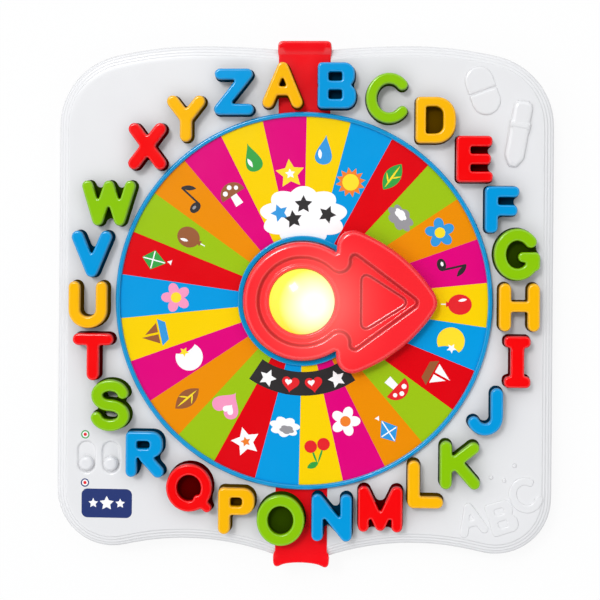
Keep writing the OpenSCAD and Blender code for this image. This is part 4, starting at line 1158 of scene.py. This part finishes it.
@dataclass
class Brackets(SubAssembly):
    """Red brackets: a tongue in the face and a rounded lip over the board's edge."""

    lip_top: float = 2.6
    flare_top: float = 1.2
    tongue_t: float = 1.6
    proud: float = 0.25
    skirt_w: float = 41.6
    skirt_t: float = 5.0
    skirt_low: float = 15.0
    lip_in: float = 4.0
    flow_l: float = 9.0
    sink: float = 0.3
    lip_round: float = 0.3
    slim: float = 0.96
    lip_step: float = 0.8
    tongue_step: float = 1.5

    def flow(self, points: np.ndarray, side: int, outer: float, base: float) -> None:
        """Lets a lip sink into its tongue.

        What stands above a floor just below the base is scaled by a share that falls smoothly from
        one to nothing between the board's edge and the lip's inner end.

        Args:
            points: The lip's points, changed in place.
            side: 1 for the upper bracket, -1 for the lower one.
            outer: Distance of the lip's outer end.
            base: Height of the tongue.
        """
        share = np.clip((outer - side * points[:, 1]) / MM - self.lip_in, 0, self.flow_l) / self.flow_l
        keep = 1 - share**2 * (3 - 2 * share)
        floor = base - self.sink * MM
        points[:, 2] = np.where(points[:, 2] > floor, floor + (points[:, 2] - floor) * keep, points[:, 2])

    def build(self) -> None:
        """Builds both brackets from the outlines of their nodes."""
        face = self.levels.face
        tongue = face + self.proud
        for name, rise in (("top_bracket", self.lip_top), ("bottom_bracket", self.flare_top)):
            skin = Skin()
            low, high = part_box(name)
            side = 1 if high.y > -low.y else -1
            outer, inner = sorted((side * low.y, side * high.y), reverse=True)
            top = face + rise
            lip = resample(level_loops(name, top * MM)[0], self.lip_step * MM, 14) * (self.slim, 1)
            bead = [(0.5, face - self.tongue_t), (0, face - 0.8), (0.2, top), (rise + 1.0, top)]
            skin.mould([lip], fillet(bead, [0.4, rise + self.lip_round], 8))
            for block in skin.points:
                self.flow(block, side, outer, tongue * MM)
            half = self.skirt_w / 2 * MM
            strip = rectangle((-half, inner), (half, outer - self.lip_in * MM))[::side] * (1, side)
            edge = fillet([(0, face - 1), (0, tongue), (2, tongue)], [0.2])
            skin.mould([resample(strip, self.tongue_step * MM, 0)], edge)
            reach = np.maximum(side * lip[:, 1], outer - self.skirt_t * MM)
            skirt = resample(np.column_stack([lip[:, 0], side * reach]), self.lip_step * MM)
            skin.mould([skirt], fillet([
                (1.5, self.skirt_low), (0, self.skirt_low), (0, face - 0.5), (1, face),
            ], [1.0, 0.6]))
            self.put(skin, f"red_{name}", "bracket_red", name)


@dataclass
class Knobs(SubAssembly):
    """Two white sliding knobs, each a low round button."""

    radius: float = 6.1
    foot: float = 1.65
    rise: float = 2.64
    round_steps: int = 72

    def build(self) -> None:
        """Builds each knob as a profile turned round its own axis."""
        face = self.levels.face
        top = face + self.rise
        profile = fillet([
            (0, face - self.foot), (0.1, face + 1.2), (2.2, top), (self.radius - 0.4, top),
        ], [1.0, 1.6], 8)
        for name in KNOBS:
            low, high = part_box(name)
            middle = ((low.x + high.x) / 2, (low.y + high.y) / 2)
            skin = Skin()
            skin.mould([circle(self.radius * MM, middle, self.round_steps)], profile)
            self.put(skin, f"round_{name}", "white_knob", name, body=name)


# Print


def turner(angle: float, scale: float = 1.0) -> np.ndarray:
    """Matrix that turns rows of points anticlockwise and scales them."""
    c, s = math.cos(angle) * scale, math.sin(angle) * scale
    return np.array([[c, s], [-s, c]])


def swell(
    radius: float, lobes: int = 0, depth: float = 0.0,
    size: Sequence[float] = (1.0, 1.0), at: Sequence[float] = ORIGIN, steps: int = 80,
) -> np.ndarray:
    """Outline that swells round its centre.

    Its reach is the radius, less up to the depth's share of it as the size of the cosine of half
    the turn times the lobes falls from one to nothing; X and Y are then stretched.

    Args:
        radius: Greatest reach in millimetres.
        lobes: How often the outline swells.
        depth: Share of the radius that is lost between two lobes.
        size: Stretch in X and Y.
        at: Centre.
        steps: Number of points.

    Returns:
        The outline's points, anticlockwise.
    """
    turn = turns(steps)
    reach = radius * (1 - depth * (1 - np.abs(np.cos(lobes * turn / 2))))
    return np.column_stack([-np.sin(turn), np.cos(turn)]) * reach[:, None] * np.asarray(size) + np.asarray(at)


def star(points: int, outer: float, inner: float, at: Sequence[float] = ORIGIN) -> np.ndarray:
    """Outline of a star: its reach changes between two radii from corner to corner."""
    corner = np.arange(2 * points)
    turn = corner * math.pi / points
    reach = np.where(corner % 2, inner, outer)
    return np.column_stack([-np.sin(turn), np.cos(turn)]) * reach[:, None] + np.asarray(at)


def lens(width: float, length: float, at: Sequence[float] = ORIGIN, lean: float = 0.0) -> np.ndarray:
    """Outline of a leaf: its half width is a squared sine along its length; it leans by some degrees."""
    turn = turns(60)
    flat = np.column_stack([np.sin(turn) * np.abs(np.sin(turn)) * -width / 2, np.cos(turn) * length / 2])
    return flat @ turner(math.radians(lean)) + np.asarray(at)


def heart(radius: float, at: Sequence[float] = ORIGIN) -> np.ndarray:
    """Outline of a heart: X is the cube of the turn's sine, Y a sum of four cosines."""
    turn = turns(72)
    rise = 13 * np.cos(turn) - 5 * np.cos(2 * turn) - 2 * np.cos(3 * turn) - np.cos(4 * turn)
    return np.column_stack([-16 * np.sin(turn) ** 3, rise]) * radius / 16 + np.asarray(at)


def drop(radius: float, length: float) -> np.ndarray:
    """Outline of a drop: its half width is a sine times the square of the half turn's sine."""
    turn = turns(72)
    return np.column_stack([-1.3 * radius * np.sin(turn) * np.sin(turn / 2) ** 2, np.cos(turn) * length])


def moon(radius: float, bite: float) -> np.ndarray:
    """Outline of a crescent: an arc of a circle, and back along a flatter arc through its bite."""
    arc = ray(np.linspace(math.radians(50), math.radians(310), 40)) * radius
    back = np.linspace(1, -1, 20)[1:-1]
    hollow = np.column_stack([arc[0, 0] - (1 - back**2) * bite, -back * arc[0, 1]])
    return np.vstack([arc, hollow])


def dome(radius: float, at: Sequence[float]) -> np.ndarray:
    """Outline of a half circle that stands on its straight side."""
    return ray(np.linspace(0, math.pi, 36)) * radius + np.asarray(at)


def shape(*corners: tuple[float, float]) -> np.ndarray:
    """Outline with straight sides, through corners that run anticlockwise."""
    return np.array(corners, float)


# Each motif is built of layers: 0 takes its main ink, 1 its second ink. Upwards is outwards on the dial.
MOTIFS: dict[str, tuple[tuple[int, np.ndarray], ...]] = {
    "star": ((0, star(5, 12, 6)), (1, star(5, 4.2, 2.1))),
    "plain_star": ((0, star(5, 12, 6)),),
    "drop": ((0, drop(8, 12)), (1, lens(3, 8, (-3, -4), 12))),
    "sun": ((0, star(12, 12, 8)), (1, swell(6.6))),
    "leaf": (
        (0, lens(13, 25)), (1, lens(1.6, 21)),
        (1, lens(1.2, 9, (2.6, 1), -45)), (1, lens(1.2, 9, (-2.6, -3), 45)),
    ),
    "cloud": ((0, swell(9.6, 7, 0.24, (1.3, 0.86))), (1, swell(5, 5, 0.2, (1.2, 0.7), (-2, 2)))),
    "flower": ((0, swell(12, 5, 0.45)), (1, swell(4.2))),
    "note": (
        (0, swell(4, size=(1.25, 0.9), at=(-4, -8))), (0, shape((-0.6, -8), (1, -8), (1, 11), (-0.6, 11))),
        (0, lens(4, 12, (4, 6.6), 38)), (1, swell(1.4, size=(1.3, 0.8), at=(-4.6, -7.4))),
    ),
    "balloon": (
        (1, shape((-0.4, -12), (0.4, -12), (0.4, -5), (-0.4, -5))), (0, shape((-2.4, -8), (2.4, -8), (0, -4))),
        (0, swell(8.8, size=(0.92, 1.06), at=(0, 3))), (1, lens(2.4, 7, (-3.6, 5), 12)),
    ),
    "moon": ((0, moon(11, 2.6)), (1, star(5, 4, 1.9, (5.4, 2)))),
    "boat": (
        (0, shape((-11, -4), (-7, -10), (7, -10), (11, -4))), (1, shape((-1.4, -2.6), (-1.4, 11), (-9, -2.6))),
        (1, shape((0.4, -2.6), (8, -2.6), (0.4, 8))),
    ),
    "mushroom": (
        (1, shape((-3.4, -10), (3.4, -10), (2.6, 0), (-2.6, 0))), (0, dome(10.4, (0, -1))),
        (1, swell(2, at=(-5, 3.4))), (1, swell(1.7, at=(5, 3))), (1, swell(1.9, at=(0.4, 6))),
    ),
    "kite": (
        (0, shape((0, -8), (8, 3), (0, 12), (-8, 3))), (1, shape((-0.5, -7), (0.5, -7), (0.5, 11), (-0.5, 11))),
        (1, shape((-7, 2.5), (7, 2.5), (7, 3.5), (-7, 3.5))), (1, star(3, 2.4, 1.1, (1.6, -11))),
    ),
    "cherry": (
        (1, lens(1.6, 15, (-2, 2), -24)), (1, lens(1.6, 14, (3, 2.4), 16)), (1, lens(5, 10, (5, 9.6), -70)),
        (0, swell(5, at=(-5.2, -6.4))), (0, swell(5, at=(5.2, -5.4))),
    ),
    "heart": ((0, heart(11.6, (0, 1.6))), (1, heart(4.6, (-3, 3.6)))),
}

# Motif, main ink and second ink of each wedge, in the order of the letters.
CARD = (
    ("star", Ink.YELLOW, Ink.WHITE), ("drop", Ink.BLUE, Ink.WHITE), ("sun", Ink.ORANGE, Ink.YELLOW),
    ("leaf", Ink.GREEN, Ink.YELLOW), ("cloud", Ink.GREY, Ink.WHITE), ("flower", Ink.BLUE, Ink.YELLOW),
    ("note", Ink.BLACK, Ink.WHITE), ("balloon", Ink.RED, Ink.WHITE), ("moon", Ink.YELLOW, Ink.WHITE),
    ("boat", Ink.BROWN, Ink.WHITE), ("mushroom", Ink.RED, Ink.WHITE), ("kite", Ink.BLUE, Ink.WHITE),
    ("flower", Ink.WHITE, Ink.ORANGE), ("cherry", Ink.RED, Ink.GREEN), ("cloud", Ink.WHITE, Ink.GREY),
    ("star", Ink.WHITE, Ink.ORANGE), ("heart", Ink.PINK, Ink.WHITE), ("leaf", Ink.BROWN, Ink.YELLOW),
    ("moon", Ink.WHITE, Ink.YELLOW), ("boat", Ink.BLUE, Ink.BROWN), ("flower", Ink.PINK, Ink.YELLOW),
    ("kite", Ink.GREEN, Ink.WHITE), ("balloon", Ink.BROWN, Ink.WHITE), ("note", Ink.BLACK, Ink.GREY),
    ("mushroom", Ink.BROWN, Ink.WHITE), ("drop", Ink.GREEN, Ink.WHITE),
)


class Print(Skin):
    """Shapes printed on a level face, each a hair above the one before it where they overlap."""

    hair = 0.03

    def __init__(self, height: float) -> None:
        """Starts with no shape on a face of that height, in millimetres."""
        super().__init__()
        self.height = height

    def mark(self, outline: np.ndarray, ink: Ink, layer: int = 0) -> None:
        """Adds one shape.

        Args:
            outline: Its outline, in millimetres.
            ink: Its ink.
            layer: How many shapes may lie under it.
        """
        self.cap([outline * MM], (self.height + self.hair * (1 + layer)) * MM, ink=list(Ink).index(ink))

    def motif(
        self, name: str, inks: Sequence[Ink], at: Sequence[float],
        turn: float = 0.0, scale: float = 1.0, layer: int = 0,
    ) -> None:
        """Adds a motif.

        Args:
            name: Its name.
            inks: Its main ink and its second ink.
            at: Its place, in millimetres.
            turn: Its turn, in radians.
            scale: Its scale.
            layer: How many shapes may lie under it.
        """
        for k, (role, outline) in enumerate(MOTIFS[name]):
            self.mark(outline @ turner(turn, scale) + np.asarray(at), inks[role], layer + k)


@dataclass
class DialPrint(SubAssembly):
    """Motifs in the dial's wedges, a cloud with stars above the hub and a starred ribbon below it."""

    near_r: float = 102.0
    far_r: float = 122.0
    clear: float = 0.3
    cloud_at: tuple[float, float] = (0.0, 68.0)
    ribbon_r: tuple[float, float] = (57.0, 76.0)
    ribbon_turn: float = 34.0
    cloud_star: float = 0.62
    ribbon_mark: float = 0.6

    def build(self) -> None:
        """Builds all marks as one piece."""
        skin = Print(self.levels.label)
        middle = np.asarray(self.levels.centre) / MM
        for k, (name, *inks) in enumerate(CARD):
            turn = (0.5 - k) * FULL_TURN / len(CARD) + PRINT_LEAN
            by_tip = abs(turn + math.pi / 2) < self.clear
            reach = self.far_r if k % 2 or by_tip else self.near_r
            at = middle + reach * np.array([-math.sin(turn), math.cos(turn)])
            skin.motif(name, inks, at, turn)
        self.hub_marks(skin, middle)
        self.put(skin, "dial_print", "printed_card", finishes=self.dresser.inks)

    def hub_marks(self, skin: Print, middle: np.ndarray) -> None:
        """Adds the cloud and the ribbon."""
        cloud = middle + np.asarray(self.cloud_at)
        skin.mark(swell(27.5, 9, 0.16, (1.28, 0.86), cloud, 180), Ink.WHITE)
        for across, rise, ink in (
            (-19, 2, Ink.BLUE), (0, 9, Ink.BLACK), (19, 1, Ink.BLACK), (-8, -3, Ink.BLACK),
        ):
            skin.motif("plain_star", (ink,), cloud + (across, rise), across * -0.02, self.cloud_star, 1)
        turn = np.radians(np.linspace(-self.ribbon_turn, self.ribbon_turn, 40)) - math.pi / 2
        inner, outer = (ray(turn) * reach for reach in self.ribbon_r)
        skin.mark(np.vstack([outer, inner[::-1]]) + middle, Ink.BLACK)
        away = sum(self.ribbon_r) / 2 + 1.5
        for degrees, name, ink in (
            (-24, "star", Ink.WHITE), (-8, "heart", Ink.RED), (8, "heart", Ink.RED), (24, "star", Ink.WHITE),
        ):
            lean = math.radians(degrees)
            at = middle + away * np.array([math.sin(lean), -math.cos(lean)])
            skin.motif(name, (ink, Ink.WHITE), at, lean, self.ribbon_mark, 1)


@dataclass
class SmallSigns(SubAssembly):
    """Plain signs by the two knobs: two roundels and a navy badge with three stars."""

    roundel_r: float = 3.4
    ring_shares: tuple[float, ...] = (1.0, 0.72, 0.4)
    roundels: tuple[tuple[float, float], ...] = ((-175.4, -110.2), (-175.4, -149.2))
    badge_at: tuple[float, float] = (-157.5, -165.6)
    badge_size: tuple[float, float] = (41.2, 23.4)
    badge_round: float = 5.0
    badge_stars: tuple[tuple[float, float], ...] = ((-11, 0.34), (0, 0.5), (11, 0.34))

    def build(self) -> None:
        """Builds all signs as one piece on the face."""
        skin = Print(self.levels.face)
        middle = np.asarray(self.levels.centre) / MM
        for place, rim in zip(self.roundels, (Ink.GREEN, Ink.NAVY)):
            at = middle + np.asarray(place)
            for layer, (share, ink) in enumerate(zip(self.ring_shares, (rim, Ink.WHITE, Ink.RED))):
                skin.mark(swell(self.roundel_r * share, at=at), ink, layer)
        at = middle + np.asarray(self.badge_at)
        half = np.asarray(self.badge_size) / 2 - self.badge_round
        ring = circle(self.badge_round, steps=48)
        skin.mark(ring + np.where(ring >= 0, 1, -1) * half + at, Ink.NAVY)
        for across, scale in self.badge_stars:
            skin.motif("plain_star", (Ink.WHITE,), at + (across, 0), 0.0, scale, 1)
        self.put(skin, "small_signs", "printed_card", finishes=self.dresser.inks)


# Studio


@dataclass
class Studio:
    """White floor, a soft lamp, a pale sky and the camera that looks down on the face."""

    levels: Levels
    distance: float = 1.0
    aside: tuple[float, float] = (0.055, 0.06)
    pixel: float = 0.8 * MM
    image: int = 600
    middle_pixel: tuple[float, float] = (302.9, 300.5)
    roll: float = 0.45
    sensor: float = 36.0
    sky_rise: tuple[float, float] = (0.84, 0.94)
    sky_power: tuple[float, float] = (1.35, 0.03)
    sky_low: tuple[float, float] = (0.3, 0.62)
    sky_dusk: float = 0.12
    sky_lean: float = 0.22
    sky_colour: tuple[float, float, float] = (0.97, 0.98, 1.0)
    haze: tuple[float, float] = (0.1, 0.18)
    key_at: tuple[float, float, float] = (-3.9, 5.1, 12.6)
    key_size: float = 3.0
    key_power: float = 640.0
    floor_half: float = 6.0
    paper: tuple[float, float] = (0.56, 0.6)
    paper_scale: float = 3.0
    paper_glow: float = 1.06
    paper_share: float = 0.85

    def build(self) -> None:
        """Builds the stage."""
        self.floor()
        self.key()
        self.sky()
        self.camera()
        bpy.context.scene.view_settings.view_transform = "Standard"

    def floor(self) -> None:
        """A wide pale floor that the camera sees as white paper."""
        mesh = bpy.data.meshes.new("floor")
        half = self.floor_half
        corners = rectangle((-half, -half), (half, half)).tolist()
        mesh.from_pydata([(*corner, 0) for corner in corners], [], [(0, 1, 2, 3)])
        sheet = Sheet("floor_paper")
        vector, *_ = sheet.place()
        low, high = (opaque(WHITE, share) for share in self.paper)
        tone = sheet.blend(sheet.noise(vector, self.paper_scale), low, high)
        paper = sheet.node("ShaderNodeBsdfDiffuse", None, {"Color": tone})
        white = sheet.node("ShaderNodeEmission", None, {"Color": opaque(WHITE), "Strength": self.paper_glow})
        mesh.materials.append(sheet.close(sheet.node("ShaderNodeMixShader", None, {
            0: self.paper_share * sheet.seen(), 1: paper.outputs[0], 2: white.outputs[0],
        })))
        placed("floor", mesh)

    def key(self) -> None:
        """A square soft lamp that points at the board's middle."""
        data = bpy.data.lights.new("key", "AREA")
        data.size, data.energy = self.key_size, self.key_power
        aim = (-Vector(self.key_at)).to_track_quat("-Z", "Y").to_matrix().to_4x4()
        placed("key", data).matrix_world = Matrix.Translation(self.key_at) @ aim

    def sky(self) -> None:
        """A world that is dim overhead and low down, brightest between them, with a horizon seen as white."""
        world = bpy.data.worlds.new("sky")
        world.use_nodes = True
        sheet = Sheet.of(world.node_tree)
        vector = sheet.node("ShaderNodeTexCoord").outputs["Generated"]
        x, y, z = (Val(sheet, part) for part in sheet.node("ShaderNodeSeparateXYZ", None, {0: vector}).outputs)
        side = ((y - x) * self.sky_lean + 1.0) * sheet.span(z, *self.sky_low, self.sky_dusk, 1.0)
        light = sheet.span(z, *self.sky_rise, *self.sky_power) * side
        white = sheet.seen() * sheet.span(z, *self.haze, 1.0, 0.0)
        glow = sheet.node("ShaderNodeBackground", None, {
            "Color": opaque(self.sky_colour), "Strength": light + white * (1.0 - light),
        })
        sheet.node("ShaderNodeOutputWorld", None, {"Surface": glow.outputs[0]})
        bpy.context.scene.world = world

    def camera(self) -> None:
        """A camera above the face, a little aside, with its frame shifted to hold the board."""
        data = bpy.data.cameras.new("camera")
        data.sensor_width = self.sensor
        width = self.image * self.pixel
        data.lens = self.sensor * self.distance / width
        made = placed("camera", data)
        level = self.levels.face * MM
        eye = np.array([*self.levels.centre, level + self.distance]) + np.array([*self.aside, 0])
        tilt = Matrix.Rotation(math.atan2(self.aside[0], self.distance), 4, "Y")
        turn = tilt @ Matrix.Rotation(math.radians(self.roll), 4, "Z")
        made.matrix_world = Matrix.Translation(eye) @ turn
        off = turn.to_3x3().inverted() @ Vector((-self.aside[0], -self.aside[1], -self.distance))
        at = (self.middle_pixel[0] / self.image - 0.5, 0.5 - self.middle_pixel[1] / self.image)
        data.shift_x = off.x / -off.z * self.distance / width - at[0]
        data.shift_y = off.y / -off.z * self.distance / width - at[1]
        bpy.context.scene.camera = made


def main() -> None:
    """Builds the board and its stage."""
    logging.basicConfig(level=logging.INFO, format="%(message)s")
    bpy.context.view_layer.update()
    dresser = Dresser()
    dresser.dress_nodes()
    levels = Levels.read()
    for assembly in (
        FaceShell, LetterRing, Dial, Pointer, LitButton, ButtonSpring, Brackets, Knobs, DialPrint, SmallSigns,
    ):
        assembly(levels, dresser).build()
    Studio(levels).build()


if __name__ == "__main__":
    main()
